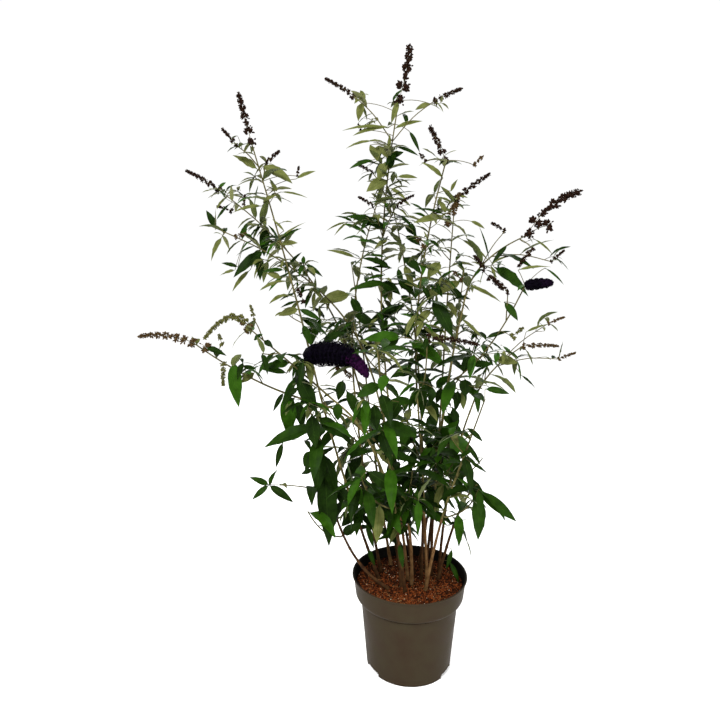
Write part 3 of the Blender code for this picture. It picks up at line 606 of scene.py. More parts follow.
# The small spent spikes that stand out: foot and tip in the picture, radius in
# centimetres, and tint
SMALL_SPIKES = (
    ((338, 365), (352, 378), 0.9, "umber"),
    ((232, 211), (216, 206), 0.5, "dark"),
    ((241, 207), (245, 194), 0.4, "dark"),
    ((236, 235), (247, 233), 0.5, "umber"),
    ((304, 302), (297, 288), 0.6, "dark"),
    ((221, 362), (223, 386), 0.6, "olive"),
    ((222, 345), (219, 334), 0.6, "olive"),
    ((208, 348), (199, 343), 0.9, "umber"),
    ((251, 327), (240, 322), 0.8, "umber"),
    ((447, 224), (455, 205), 1.3, "umber"),
    ((451, 207), (460, 192), 1.0, "umber"),
    ((546, 226), (554, 221), 1.1, "dark"),
    ((424, 247), (416, 236), 0.7, "umber"),
    ((489, 277), (502, 289), 0.6, "dark"),
    ((462, 280), (453, 271), 0.6, "umber"),
    ((512, 337), (524, 327), 0.6, "olive"),
    ((361, 131), (358, 123), 0.4, "dark"),
    ((426, 161), (419, 153), 0.4, "dark"),
    ((474, 165), (484, 155), 0.5, "umber"),
    ((297, 176), (299, 166), 0.3, "dark"),
)

# Where the photo shows no leaves, but sky or a bloom: middle in the picture, and radius
CLEAR_VIEW = (
    ((183, 357), 14),
    ((204, 378), 22),
    ((256, 392), 17),
    ((256, 311), 11),
    ((294, 453), 13),
    ((279, 502), 15),
    ((304, 514), 17),
    ((312, 562), 24),
    ((338, 555), 14),
    ((335, 272), 19),
    ((341, 309), 9),
    ((366, 290), 9),
    ((372, 107), 8),
    ((347, 98), 7),
    ((433, 86), 12),
    ((425, 117), 8),
    ((526, 226), 13),
    ((504, 228), 10),
    ((527, 254), 9),
    ((506, 322), 10),
    ((497, 334), 9),
    ((497, 405), 16),
    ((500, 436), 28),
    ((494, 474), 18),
    ((488, 538), 17),
    ((465, 552), 9),
    ((437, 541), 9),
    ((440, 530), 7),
    ((362, 80), 9),
    ((379, 99), 7),
    ((222, 166), 12),
    ((287, 331), 16),
    ((272, 326), 8),
    ((246, 345), 8),
    ((276, 393), 7),
    ((372, 303), 8),
    ((482, 480), 9),
    ((497, 525), 8),
    ((493, 232), 8),
    ((540, 256), 10),
    ((546, 272), 9),
    ((510, 281), 8),
    ((533, 300), 12),
    ((526, 314), 11),
    ((514, 345), 7),
    ((531, 338), 7),
    ((550, 337), 8),
    ((545, 374), 14),
    ((558, 367), 10),
    ((354, 563), 9),
    ((320, 353), 11),
    ((340, 353), 11),
    ((355, 362), 9),
    ((364, 373), 8),
    ((545, 285), 8),
    ((494, 286), 7),
    ((525, 272), 6),
    ((282, 476), 5),
    ((496, 374), 8),
    ((522, 337), 6),
    ((541, 346), 6),
    ((453, 530), 6),
    ((494, 517), 7),
    ((206, 341), 6),
    ((256, 217), 6),
    ((284, 252), 5),
    ((416, 103), 6),
    ((373, 556), 10),
    ((396, 552), 10),
    ((420, 557), 8),
    ((381, 92), 9),
    ((411, 92), 6),
    ((437, 117), 8),
    ((502, 250), 7),
    ((421, 193), 6),
    ((362, 203), 7),
    ((374, 206), 6),
    ((378, 466), 9),
    ((340, 441), 6),
    ((333, 462), 5),
    ((405, 469), 5),
    ((349, 404), 5),
    ((322, 399), 5),
    ((466, 447), 6),
    ((433, 533), 10),
    ((268, 408), 9),
    ((470, 414), 7),
    ((403, 566), 9),
    ((441, 578), 8),
    ((431, 549), 8),
    ((366, 363), 7),
    ((357, 371), 6),
    ((277, 222), 6),
    ((220, 250), 6),
    ((283, 290), 6),
    ((478, 300), 6),
    ((487, 316), 6),
    ((229, 128), 6),
    ((213, 138), 6),
    ((348, 198), 5),
    ((219, 392), 7),
    ((499, 297), 5),
    ((520, 323), 6),
    ((472, 482), 6),
    ((372, 445), 6),
    ((408, 472), 6),
    ((371, 318), 5),
    ((310, 281), 6),
    ((368, 262), 5),
    ((245, 134), 6),
    ((262, 146), 7),
    ((277, 154), 6),
    ((213, 237), 5),
    ((529, 266), 6),
    ((514, 299), 5),
)

# Finishes of the leaves: dark and light colour, roughness, sheen
# Deep, mid and bright are one green in three shades: partly the leaves' own variation, partly painted shade
# and light
UPPER_TINTS = {
    "deep": ((0.0034, 0.0096, 0.0006), (0.0066, 0.0185, 0.0012), 0.5, 0.0),
    "mid": ((0.0052, 0.0165, 0.0007), (0.0108, 0.0315, 0.0015), 0.5, 0.0),
    "bright": ((0.0100, 0.0330, 0.0010), (0.0180, 0.0560, 0.0025), 0.5, 0.0),
    "felted": ((0.0500, 0.0580, 0.0125), (0.0920, 0.1010, 0.0310), 0.65, 0.0),
}
# The darker under sheets of the deep and mid leaves are painted shade on their undersides
UNDER_TINTS = {
    "deep": ((0.0340, 0.0470, 0.0120), (0.0580, 0.0740, 0.0210), 0.75, 0.1),
    "mid": ((0.0450, 0.0600, 0.0155), (0.0750, 0.0920, 0.0265), 0.75, 0.1),
    "bright": ((0.0640, 0.0800, 0.0200), (0.1000, 0.1200, 0.0350), 0.75, 0.1),
    "felted": ((0.0950, 0.1050, 0.0380), (0.1450, 0.1550, 0.0640), 0.75, 0.1),
}
RIB_TINT = ((0.0110, 0.0280, 0.0025), (0.0220, 0.0450, 0.0060), 0.55, 0.0)
UNDER_RIB_TINT = ((0.0950, 0.1050, 0.0400), (0.1400, 0.1500, 0.0650), 0.7, 0.0)

# Finishes of wood, capsules and soil: dark and light colour, roughness, blotch, grain
TAN_BARK = ((0.0620, 0.0300, 0.0105), (0.1500, 0.0820, 0.0330), 0.75, 14 * MM, 1.6 * MM)
BROWN_BARK = ((0.0180, 0.0080, 0.0035), (0.0580, 0.0270, 0.0100), 0.75, 14 * MM, 1.6 * MM)
GREEN_BARK = ((0.0420, 0.0370, 0.0110), (0.1400, 0.1180, 0.0420), 0.7, 16 * MM, 1.4 * MM)
STEM_TINT = ((0.0270, 0.0250, 0.0075), (0.0950, 0.0830, 0.0290), 0.65, 20 * MM, 1.2 * MM)
CAPSULE_TINTS = {
    "dark": ((0.0050, 0.0020, 0.0012), (0.0200, 0.0090, 0.0050), 0.75, 4 * MM, 0.8 * MM),
    "umber": ((0.0240, 0.0130, 0.0050), (0.0650, 0.0400, 0.0150), 0.75, 4 * MM, 0.8 * MM),
    "olive": ((0.0420, 0.0440, 0.0110), (0.0900, 0.0880, 0.0260), 0.75, 4 * MM, 0.8 * MM),
}
SOIL_TINTS = {
    "bed": ((0.0060, 0.0020, 0.0008), (0.0260, 0.0080, 0.0025), 0.95, 12 * MM, 1.5 * MM),
    "coir": ((0.0460, 0.0098, 0.0026), (0.1000, 0.0245, 0.0068), 0.95, 6 * MM, 0.8 * MM),
    "rust": ((0.0980, 0.0220, 0.0052), (0.1950, 0.0520, 0.0136), 0.95, 6 * MM, 0.8 * MM),
    "peat": ((0.0060, 0.0020, 0.0010), (0.0220, 0.0065, 0.0025), 0.95, 6 * MM, 0.8 * MM),
    "speck": ((0.3200, 0.2600, 0.1700), (0.5600, 0.4900, 0.3800), 0.8, 6 * MM, 0.8 * MM),
    "straw": ((0.1400, 0.0620, 0.0210), (0.2800, 0.1500, 0.0620), 0.85, 6 * MM, 0.8 * MM),
}

# Finishes of the petals: dark and light colour, roughness
PETAL_TINTS = {
    "indigo": ((0.0004, 0.0002, 0.0010), (0.0016, 0.0006, 0.0036), 0.6),
    "violet": ((0.0016, 0.0005, 0.0030), (0.0052, 0.0012, 0.0080), 0.6),
    "magenta": ((0.0080, 0.0011, 0.0095), (0.0260, 0.0032, 0.0270), 0.6),
    "core": ((0.0004, 0.0002, 0.0008), (0.0012, 0.0006, 0.0022), 0.7),
}

# Finishes of the pot: dark and light colour, lowest and highest roughness
POT_TINT = ((0.0240, 0.0152, 0.0086), (0.0274, 0.0210, 0.0114), 0.42, 0.58)
INSIDE_TINT = ((0.0030, 0.0028, 0.0022), (0.0060, 0.0056, 0.0045), 0.5, 0.65)

# Stage
FLOOR_RADIUS = 60.0
WORLD_STRENGTH = 1.02
LAMPS = (
    ("key_light", (-1.3, -2.3, 3.0), (-0.1, 0.0, 0.8), 1.2, 150.0),
    ("fill_light", (1.9, -2.1, 1.9), (-0.1, 0.0, 0.8), 1.4, 60.0),
    ("back_light", (0.4, 2.5, 2.6), (-0.1, 0.0, 0.8), 1.4, 60.0),
)
CAMERA_PLACE = (-0.133, -1.43, 1.06)
CAMERA_TURN = (math.radians(81), 0.0, 0.0)
CAMERA_LENS = 28.55
CAMERA_SENSOR = 36.0
PICTURE_SIZE = 720

Leaf = namedtuple("Leaf", "root along bent side length width")
Shoot = namedtuple("Shoot", "points radii sides first_normal")


def centimetres(place):
    return Vector(place) * CM


def by_height(pair, z):
    """A size between its low and high value, by the height above the ground."""
    share = min(1.0, max(0.0, (z - LOW) / (HIGH - LOW)))
    return pair[0] + (pair[1] - pair[0]) * share


def bow(start, middle, end, share):
    """A point on the curve that passes through its middle point half way."""
    control = middle * 2 - (start + end) / 2
    return start * (1 - share) ** 2 + control * 2 * share * (1 - share) + end * share ** 2


def square_to(direction):
    """A unit vector square to a direction."""
    other = Vector((1.0, 0.0, 0.0)) if abs(direction.x) < 0.7 else Vector((0.0, 1.0, 0.0))
    return direction.cross(other).normalized()


def spoke(heading, turn):
    """A unit vector square to a heading, turned round it."""
    across = square_to(heading)
    return across * math.cos(turn) + heading.cross(across) * math.sin(turn)


def along(shoot, share):
    """The point, heading and radius part of the way along a shoot."""
    place = share * (len(shoot.points) - 1)
    i = min(int(place), len(shoot.points) - 2)
    low, high = shoot.points[i], shoot.points[i + 1]
    radius = shoot.radii[i] + (shoot.radii[i + 1] - shoot.radii[i]) * (place - i)
    return low.lerp(high, place - i), (high - low).normalized(), radius


def share_at(shoot, z):
    """How far up a shoot a height is."""
    for i, (low, high) in enumerate(zip(shoot.points, shoot.points[1:])):
        if low.z <= z < high.z:
            return (i + (z - low.z) / (high.z - low.z)) / (len(shoot.points) - 1)
    raise ValueError("the height is not on the shoot")


def split_at(shoot, z):
    """The two shoots below and above a height."""
    cut = next(i for i, point in enumerate(shoot.points) if point.z > z)
    low = shoot._replace(points=shoot.points[:cut + 1], radii=shoot.radii[:cut + 1])
    high = shoot._replace(points=shoot.points[cut:], radii=shoot.radii[cut:], first_normal=None)
    return low, high


def length_of(shoot):
    return sum((b - a).length for a, b in zip(shoot.points, shoot.points[1:]))


def smooth(shoot, parts):
    """The shoot on a smooth curve through its points, each step cut into parts."""
    points = shoot.points
    last = len(points) - 1
    tangents = []
    for i in range(last + 1):
        tangents.append((points[min(last, i + 1)] - points[max(0, i - 1)]).normalized())
    fine_points = []
    fine_radii = []
    for i in range(last):
        reach = (points[i + 1] - points[i]).length
        for k in range(parts):
            t = k / parts
            near = (1 + 2 * t) * (1 - t) ** 2
            far = t * t * (3 - 2 * t)
            point = points[i] * near + points[i + 1] * far
            point += tangents[i] * reach * t * (1 - t) ** 2
            point -= tangents[i + 1] * reach * t * t * (1 - t)
            fine_points.append(point)
            fine_radii.append(shoot.radii[i] + (shoot.radii[i + 1] - shoot.radii[i]) * t)
    fine_points.append(points[last])
    fine_radii.append(shoot.radii[last])
    return shoot._replace(points=fine_points, radii=fine_radii)


def make_cane(foot, middle, tip):
    """One tapering cane, from a level cut on the soil to its tip."""
    foot = Vector((foot[0] * CM, foot[1] * CM, SOIL_TOP + GAP))
    points = []
    radii = []
    for i in range(CANE_STEPS + 1):
        share = (i / CANE_STEPS) ** CANE_STEP_GROWTH
        point = bow(foot, centimetres(middle), centimetres(tip), share)
        taper = CANE_FOOT_RADIUS + (CANE_TIP_RADIUS - CANE_FOOT_RADIUS) * share
        points.append(point)
        radii.append(taper + CANE_FLARE * math.exp((foot.z - point.z) / FLARE_HEIGHT))
    return smooth(Shoot(points, radii, CANE_SIDES, UP), CANE_SMOOTHING)


def rule_leaf(rng, point, heading, turn, lengths, widths, scale):
    """A leaf that leaves its shoot, then arches over by the droop of its height."""
    out = spoke(heading, turn)
    rise = by_height(LEAF_RISE, point.z) + rng.uniform(*LEAF_RISE_SPREAD)
    droop = by_height(LEAF_DROOP, point.z) * rng.uniform(*LEAF_DROOP_SPREAD)
    length = by_height(lengths, point.z) * scale * rng.uniform(*LEAF_LENGTH_SPREAD)
    width = length * by_height(widths, point.z) * rng.uniform(*LEAF_WIDTH_SPREAD)
    first = (out + heading * rise - UP * droop * FOOT_DROOP).normalized()
    bent = (first - UP * droop).normalized()
    side = first.cross(UP)
    if side.length < STEEP:
        side = out.cross(heading)
    return Leaf(point, first, bent, side.normalized(), length, width)


class Mass:
    """One foliage mass: its stem, twigs, leaves and spikes, by the source's rule."""

    def __init__(self, name, canes, seed):
        cane_name, height, reach, spike_tip, spike_radius = MASSES[name]
        self.name = name
        self.rng = random.Random(seed)
        self.reach = centimetres(reach)
        self.stem = self.make_stem(canes[cane_name], height)
        self.start = self.stem.points[0]
        self.length = (self.reach - self.start).length
        self.spikes = []
        self.branches = []
        if spike_tip:
            bend = BENT_SPIKES.get(name)
            self.spikes.append((self.reach, bend, spike_tip, spike_radius * CM))
        for owner, share, foot, tip, radius in SIDE_SPIKES:
            if owner == name:
                self.fork(share, centimetres(foot))
                self.spikes.append((centimetres(foot), None, tip, radius * CM))
        nodes = round(self.length / by_height(NODE_SPACING, self.reach.z))
        self.branches.append((self.stem, self.pairs(self.stem, 1.0, nodes)))
        self.grow_twigs()

    def make_stem(self, cane, height):
        """The stem, from 0.3 mm clear of its cane, curving on to the mass's reach."""
        if height is TIP:
            tip, heading, _ = along(cane, 1.0)
            start = tip + heading * GAP
            collar = []
            normal = heading
            foot_radius = CANE_TIP_RADIUS
        else:
            axis, tangent, radius = along(cane, share_at(cane, height * CM))
            out = self.reach - axis
            normal = (out - tangent * out.dot(tangent)).normalized()
            start = axis + normal * (radius + GAP)
            collar = [start + normal * STEM_RADIUS * 2]
            heading = (normal + tangent * STEM_LIFT).normalized()
            foot_radius = STEM_RADIUS
        control = start + heading * (self.reach - start).length * STEM_CARRY
        middle = control / 2 + (start + self.reach) / 4
        points = [bow(start, middle, self.reach, i / STEM_STEPS) for i in range(STEM_STEPS + 1)]
        points[1:1] = collar
        count = len(points) - 1
        radii = [foot_radius + (TWIG_RADIUS - foot_radius) * i / count for i in range(count + 1)]
        return smooth(Shoot(points, radii, STEM_SIDES, normal), STEM_SMOOTHING)

    def add_twig(self, start, end, rise):
        """A twig that bows a little, with one pair of leaves near its end."""
        middle = (start + end) / 2 + rise * (end - start).length
        points = [bow(start, middle, end, i / 2) for i in range(3)]
        radii = [TWIG_RADIUS, TWIG_RADIUS * (1 + TWIG_END) / 2, TWIG_RADIUS * TWIG_END]
        twig = smooth(Shoot(points, radii, TWIG_SIDES, None), TWIG_SMOOTHING)
        self.branches.append((twig, self.pairs(twig, SMALL_LEAF, 1)))

    def fork(self, share, foot):
        start, _, _ = along(self.stem, share)
        self.add_twig(start, foot, UP * TWIG_BOW)

    def grow_twigs(self):
        """Side twigs in crossed pairs along the stem."""
        nodes = max(2, round(self.length / by_height(NODE_SPACING, self.start.z)))
        turn = self.rng.uniform(0, math.pi)
        for i in range(1, nodes):
            point, heading, _ = along(self.stem, i / nodes)
            turn += math.pi / 2 + self.rng.uniform(-TURN_SPREAD, TURN_SPREAD)
            for side in (0, math.pi):
                chance = self.rng.random()
                size = by_height(TWIG_LENGTH, point.z) * self.rng.uniform(*TWIG_LENGTH_SPREAD)
                out = spoke(heading, turn + side)
                way = (out + heading * self.rng.uniform(*TWIG_RISE)).normalized()
                if chance < by_height(TWIG_CHANCE, point.z):
                    self.add_twig(point, point + way * size, out * TWIG_BOW)

    def pairs(self, shoot, scale, nodes):
        """Leaves in crossed pairs at the nodes of a shoot."""
        leaves = []
        turn = self.rng.uniform(0, math.pi)
        for i in range(nodes):
            share = min((i + LEAF_PLACE) / nodes, LEAF_LAST_PLACE)
            point, heading, _ = along(shoot, share)
            turn += math.pi / 2 + self.rng.uniform(-TURN_SPREAD, TURN_SPREAD)
            size = scale * (1.0 - LEAF_TAPER * share)
            for side in (0, math.pi):
                leaf = rule_leaf(self.rng, point, heading, turn + side, LEAF_LENGTH, LEAF_WIDTH, size)
                leaves.append(leaf)
        return leaves

    def keeps(self, point):
        """Whether a point stays in the mass's own space and above the lowest leaves."""
        line = self.reach - self.start
        share = min(1.0, max(0.0, (point - self.start).dot(line) / line.length_squared))
        away = (point - self.start - line * share).length
        return away < by_height(MASS_REACH, point.z) and point.z > LOWEST_LEAF


def to_pixel(point):
    """Where a point falls in the camera's picture."""
    offset = point - Vector(CAMERA_PLACE)
    turn = CAMERA_TURN[0]
    depth = offset.y * math.sin(turn) - offset.z * math.cos(turn)
    height = offset.y * math.cos(turn) + offset.z * math.sin(turn)
    scale = PICTURE_SIZE * CAMERA_LENS / CAMERA_SENSOR / depth
    return PICTURE_SIZE / 2 + offset.x * scale, PICTURE_SIZE / 2 - height * scale


def in_clear_view(point):
    """Whether a point falls where the photo shows no leaves."""
    x, y = to_pixel(point)
    return any(math.hypot(x - middle[0], y - middle[1]) < reach for middle, reach in CLEAR_VIEW)


def in_box(point):
    """Whether a point keeps to the box of the whole plant."""
    low, high = CAD_BOX
    return all(low[i] - BOX_MARGIN < point[i] < high[i] + BOX_MARGIN for i in range(3))


def out_of_clear_view(shoot):
    """The shoot without the end that would stand where the photo shows no leaves."""
    count = len(shoot.points)
    while count > 3 and in_clear_view(shoot.points[count - 1]):
        count -= 1
    return shoot._replace(points=shoot.points[:count], radii=shoot.radii[:count])


def reaching(shoot, count, held):
    """The first points of a shoot: the count given, or as far as the places it holds."""
    for place in held:
        nearest = min(range(len(shoot.points)), key=lambda i: (shoot.points[i] - place).length)
        count = max(count, nearest + 2)
    return shoot._replace(points=shoot.points[:count], radii=shoot.radii[:count])


def from_pixel(pixel, y):
    """The point at a given y that falls on a pixel of the camera's picture."""
    scale = CAMERA_SENSOR / CAMERA_LENS / PICTURE_SIZE
    right = (pixel[0] - PICTURE_SIZE / 2) * scale
    up = (PICTURE_SIZE / 2 - pixel[1]) * scale
    turn = CAMERA_TURN[0]
    way = Vector((right, math.sin(turn) + up * math.cos(turn), up * math.sin(turn) - math.cos(turn)))
    return Vector(CAMERA_PLACE) + way * ((y - CAMERA_PLACE[1]) / way.y)


def tip_of(leaf):
    return leaf.root + (leaf.along + leaf.bent) * leaf.length / 2


def bloom_outline(share, slimmer):
    """The radius of a bloom up its length: blunt, thick, then slimmer to a round tip."""
    blunt = min(1.0, 0.76 + share * 3)
    slimming = 1 - slimmer / (1 + math.exp((0.56 - share) * 22))
    return 1.06 * blunt * slimming * math.sqrt(max(0.06, 1 - share ** 8))


class Growth:
    """The finer growth of the whole plant, gathered by kind and tint."""

    def __init__(self):
        self.rng = random.Random(FINE_SEED)
        self.twigs = []
        self.leaves = defaultdict(list)
        self.capsules = defaultdict(list)
        self.florets = defaultdict(list)
        self.cores = []

    def add_leaf(self, leaf, keeps, age=0.0):
        """Deal a leaf that keeps its space to a tint: young and high ones are paler."""
        tip = tip_of(leaf)
        if not keeps(tip) or not in_box(tip):
            return False
        if in_clear_view(tip) or in_clear_view((leaf.root + tip) / 2):
            return False
        high = by_height((0.0, 1.0), leaf.root.z)
        pale = 0.38 * high ** 1.4 + age * (0.25 + 0.75 * high)
        draw = self.rng.random()
        if draw < pale:
            tint = "felted"
        elif draw < pale + (1 - pale) * 0.42:
            tint = "deep"
        elif draw < pale + (1 - pale) * 0.78:
            tint = "mid"
        else:
            tint = "bright"
        self.leaves[tint].append(leaf)
        return True

    def true_size(self, leaf):
        """A leaf of the source's rule, at the size that the photo shows."""
        length = leaf.length * self.rng.uniform(*TRUE_SIZE)
        return leaf._replace(length=length, width=leaf.width * self.rng.uniform(*TRUE_WIDTH))

    def small_leaf(self, point, heading, turn, scale, keeps):
        leaf = rule_leaf(self.rng, point, heading, turn, FINE_LENGTH, FINE_WIDTH, scale)
        self.add_leaf(leaf, keeps, 0.15)

    def side_shoot(self, point, heading, turn, keeps):
        """A short leafy shoot from a leaf's axil."""
        out = spoke(heading, turn)
        size = by_height(SIDE_LENGTH, point.z) * self.rng.uniform(*SIDE_SPREAD)
        way = (out + heading * self.rng.uniform(0.5, 1.4)).normalized()
        end = point + way * size
        if not keeps(end) or in_clear_view(end):
            return
        middle = (point + end) / 2 + out * size * TWIG_BOW
        points = [bow(point, middle, end, i / 5) for i in range(6)]
        radii = [SIDE_RADIUS * (1 - 0.4 * i / 5) for i in range(6)]
        shoot = Shoot(points, radii, TWIG_SIDES, None)
        self.twigs.append(shoot)
        nodes = max(1, round(size / (2.2 * CM)))
        leaf_turn = self.rng.uniform(0, math.pi)
        for i in range(nodes):
            place, direction, _ = along(shoot, (i + 1) / nodes)
            leaf_turn += math.pi / 2
            for side in (0, math.pi):
                scale = self.rng.uniform(*SIDE_LEAF)
                self.small_leaf(place, direction, leaf_turn + side, scale, keeps)
        self.tuft(end, way, 0.5, keeps)

    def tuft(self, point, heading, scale, keeps):
        """The young leaves that stand at a shoot's tip."""
        for i in range(TUFT_LEAVES):
            turn = 2 * math.pi * i / TUFT_LEAVES + self.rng.uniform(0, 1)
            steep = (heading + spoke(heading, turn) * 0.35).normalized()
            size = scale * self.rng.uniform(0.35, 0.7)
            self.small_leaf(point, steep, turn, size, keeps)

    def dress(self, shoot, first_share, fullness, keeps):
        """Leaf pairs and side shoots at the nodes of a shoot."""
        length = length_of(shoot) * (1 - first_share)
        middle, _, _ = along(shoot, (1 + first_share) / 2)
        nodes = round(length * fullness / by_height(FINE_SPACING, middle.z))
        turn = self.rng.uniform(0, math.pi)
        for i in range(nodes):
            share = first_share + (1 - first_share) * (i + self.rng.uniform(0.3, 0.7)) / nodes
            point, heading, _ = along(shoot, share)
            turn += math.pi / 2 + self.rng.uniform(-TURN_SPREAD, TURN_SPREAD)
            for side in (0, math.pi):
                if self.rng.random() < by_height(FINE_LEAF_CHANCE, point.z):
                    scale = self.rng.uniform(0.6, 1.1)
                    leaf = rule_leaf(
                        self.rng, point, heading, turn + side, FINE_LENGTH, FINE_WIDTH, scale
                    )
                    self.add_leaf(leaf, keeps)
                if self.rng.random() < by_height(SIDE_CHANCE, point.z):
                    self.side_shoot(point, heading, turn + side, keeps)

    def carried(self, pixel, holders):
        """The point at a place in the picture, with a stalk from the nearest shoot there."""
        costs = []
        for point in holders:
            x, y = to_pixel(point)
            costs.append(math.hypot(x - pixel[0], y - pixel[1]) + point.y * FRONT_BIAS)
        holder = holders[costs.index(min(costs))]
        x, y = to_pixel(holder)
        if math.hypot(x - pixel[0], y - pixel[1]) < ROOT_GRASP:
            return holder
        root = from_pixel(pixel, holder.y)
        middle = (holder + root) / 2 + UP * (root - holder).length * TWIG_BOW
        stalk = [bow(holder, middle, root, i / 5) for i in range(6)]
        self.twigs.append(Shoot(stalk, [STALK_RADIUS] * 6, TWIG_SIDES, None))
        return root

    def featured_leaf(self, leaf, holders):
        """A leaf at its place in the picture."""
        root_pixel, tip_pixel, lean, width, tint = leaf
        root = self.carried(root_pixel, holders)
        tip = from_pixel(tip_pixel, root.y - lean * CM)
        chord = (tip - root).normalized()
        side = chord.cross(Vector(FEATURED_FACING)).normalized()
        lift = side.cross(chord) * FEATURED_ARCH
        first = (chord + lift).normalized()
        bent = (chord - lift * (2 / TIP_DROOP - 1)).normalized()
        self.leaves[tint].append(Leaf(root, first, bent, side, (tip - root).length, width * CM))

    def small_spike(self, spike, holders):
        """A small spent spike at its place in the picture."""
        foot_pixel, tip_pixel, radius, tint = spike
        foot = self.carried(foot_pixel, holders)
        tip = from_pixel(tip_pixel, foot.y)
        self.seed_spike(foot, None, tuple(tip / CM), radius * CM, tint)

    def dress_mass(self, mass):
        fullness = FULLNESS.get(mass.name, 1.0)
        feet = [spike[0] for spike in mass.spikes]
        for shoot, leaves in mass.branches:
            end = shoot.points[-1]
            carries = shoot is mass.stem or any((foot - end).length < MM for foot in feet)
            if in_clear_view(end) and not carries:
                continue
            grown = shoot
            if not mass.spikes:
                shoot = out_of_clear_view(shoot)
            held = [leaf.root for leaf in leaves if self.add_leaf(self.true_size(leaf), mass.keeps)]
            if grown is mass.stem:
                twigs = [twig for twig, _ in mass.branches if not in_clear_view(twig.points[-1])]
                held += [twig.points[0] for twig in twigs]
            self.twigs.append(reaching(grown, len(shoot.points), held))
            self.dress(shoot, 0.05 if shoot.sides == STEM_SIDES else 0.3, fullness, mass.keeps)
            tip, heading, _ = along(shoot, 1.0)
            self.tuft(tip, heading, 0.9, mass.keeps)
        for spike in mass.spikes:
            if mass.name in BLOOMS and spike is mass.spikes[0]:
                self.bloom(*spike, *BLOOMS[mass.name])
            elif mass.name not in NO_SPIKE:
                self.seed_spike(*spike, SPIKE_TINTS.get(mass.name, "dark"))

    def dress_cane(self, cane):
        """Leaf pairs and side shoots up a cane, from above the bare wood."""
        self.dress(cane, share_at(cane, CANE_LEAF_FOOT), 1.0, lambda point: point.z > LOWEST_LEAF)

    def spike_axis(self, foot, bend, tip, radius):
        tip = centimetres(tip)
        middle = centimetres(bend) if bend else (foot + tip) / 2 + UP * (tip - foot).length * 0.03
        points = [bow(foot, middle, tip, i / 16) for i in range(17)]
        radii = [max(0.5 * MM, radius * (1 - 0.6 * i / 16)) for i in range(17)]
        return Shoot(points, radii, TWIG_SIDES, None)

    def seed_spike(self, foot, bend, tip, radius, tint):
        """Paired clumps of capsules, closer and smaller towards the tip."""
        axis = self.spike_axis(foot, bend, tip, 0.9 * MM)
        self.twigs.append(axis)
        length = length_of(axis)
        place = SPIKE_START * radius
        turn = self.rng.uniform(-0.4, 0.4)
        while place < length - SPIKE_END * radius:
            share = place / length
            point, heading, _ = along(axis, share)
            size = radius * CLUMP_REACH * (1 - CLUMP_TAPER * share)
            height = CLUMP_HEIGHT[0] + (CLUMP_HEIGHT[1] - CLUMP_HEIGHT[0]) * share
            for side in (0, math.pi):
                self.clump(point, heading, turn + side, size, height, tint)
            turn += math.pi / 2 + self.rng.uniform(-0.3, 0.3)
            place += size * (CLUMP_GAPS[0] + (CLUMP_GAPS[1] - CLUMP_GAPS[0]) * share)
        end, heading, _ = along(axis, 1.0)
        bud = radius * SPIKE_BUD
        self.capsules[tint].append((end - heading * bud * CAPSULE_SLIMNESS, heading, bud))

    def clump(self, point, heading, turn, size, height, tint):
        """One side of a whorl: a full fan of capsules that droops outwards."""
        out = spoke(heading, turn)
        beside = heading.cross(out)
        capsule = min(CAPSULE_RADIUS[1], max(CAPSULE_RADIUS[0], size * CAPSULE_SHARE))
        core = (out - UP * 0.3 + heading * 0.15).normalized()
        self.capsules[tint].append((point + core * size * 0.44, core, size * CLUMP_CORE))
        for _ in range(max(4, round(CLUMP_DENSITY * size / capsule))):
            reach = self.rng.uniform(*CLUMP_SPREAD)
            way = out * reach + beside * reach * self.rng.uniform(-0.7, 0.7)
            way += heading * self.rng.uniform(-height, height) - UP * 0.35 * reach * reach
            place = point + way * size
            tilt = way.normalized() + heading * self.rng.uniform(-0.2, 0.6)
            scale = capsule * self.rng.uniform(0.85, 1.25)
            self.capsules[tint].append((place, tilt.normalized(), scale))

    def bloom(self, foot, bend, tip, radius, indigo_end, violet_end, slimmer):
        """A spike of open florets round a dark core, black-violet to magenta at its tip."""
        axis = self.spike_axis(foot, bend, tip, radius)
        radius *= BLOOM_FULLNESS
        core = [radius * BLOOM_CORE * bloom_outline(i / 16, slimmer) for i in range(17)]
        self.cores.append(axis._replace(radii=core))
        length = length_of(axis)
        count = int(FLORETS_PER_AREA * length * radius * 2)
        for i in range(count):
            share = BLOOM_START + (1 - BLOOM_START) * (i + self.rng.random()) / count
            point, heading, _ = along(axis, share)
            size = radius * bloom_outline(share, slimmer)
            lobes = 1 + 0.1 * math.sin(share * length / (1.1 * CM) * 2 * math.pi)
            way = spoke(heading, self.rng.uniform(0, 2 * math.pi))
            place = point + way * size * lobes * self.rng.uniform(0.86, 0.95)
            face = (way + heading * self.rng.uniform(-0.2, 0.4)).normalized()
            draw = share + self.rng.uniform(-0.1, 0.1)
            tint = "indigo" if draw < indigo_end else "violet" if draw < violet_end else "magenta"
            self.florets[tint].append((place, face, self.rng.uniform(2.2, 3.0) * MM))


# Joined meshes


class Piece:
    """The points and faces of one joined piece."""

    def __init__(self):
        self.verts = []
        self.faces = []
        self.count = 0

    def add(self, verts, faces):
        """Add one shape: its points, and its faces as rows of point numbers."""
        self.verts.append(np.array([tuple(vert) for vert in verts], float))
        self.faces.extend([i + self.count for i in face] for face in faces)
        self.count += len(verts)

    def add_copies(self, verts, faces):
        """Add shapes with the same faces: an array of shapes, points and coordinates."""
        shapes, points, _ = verts.shape
        firsts = self.count + points * np.arange(shapes)
        numbers = firsts[:, None, None] + np.asarray(faces)[None]
        self.verts.append(verts.reshape(-1, 3))
        self.faces.extend(numbers.reshape(-1, numbers.shape[-1]).tolist())
        self.count += shapes * points

    def build(self, name, look, nodes):
        mesh = bpy.data.meshes.new(name)
        mesh.from_pydata(np.concatenate(self.verts).tolist(), [], self.faces)
        mesh.update()
        mesh.shade_smooth()
        return settle(add_object(name, mesh), [look], nodes)


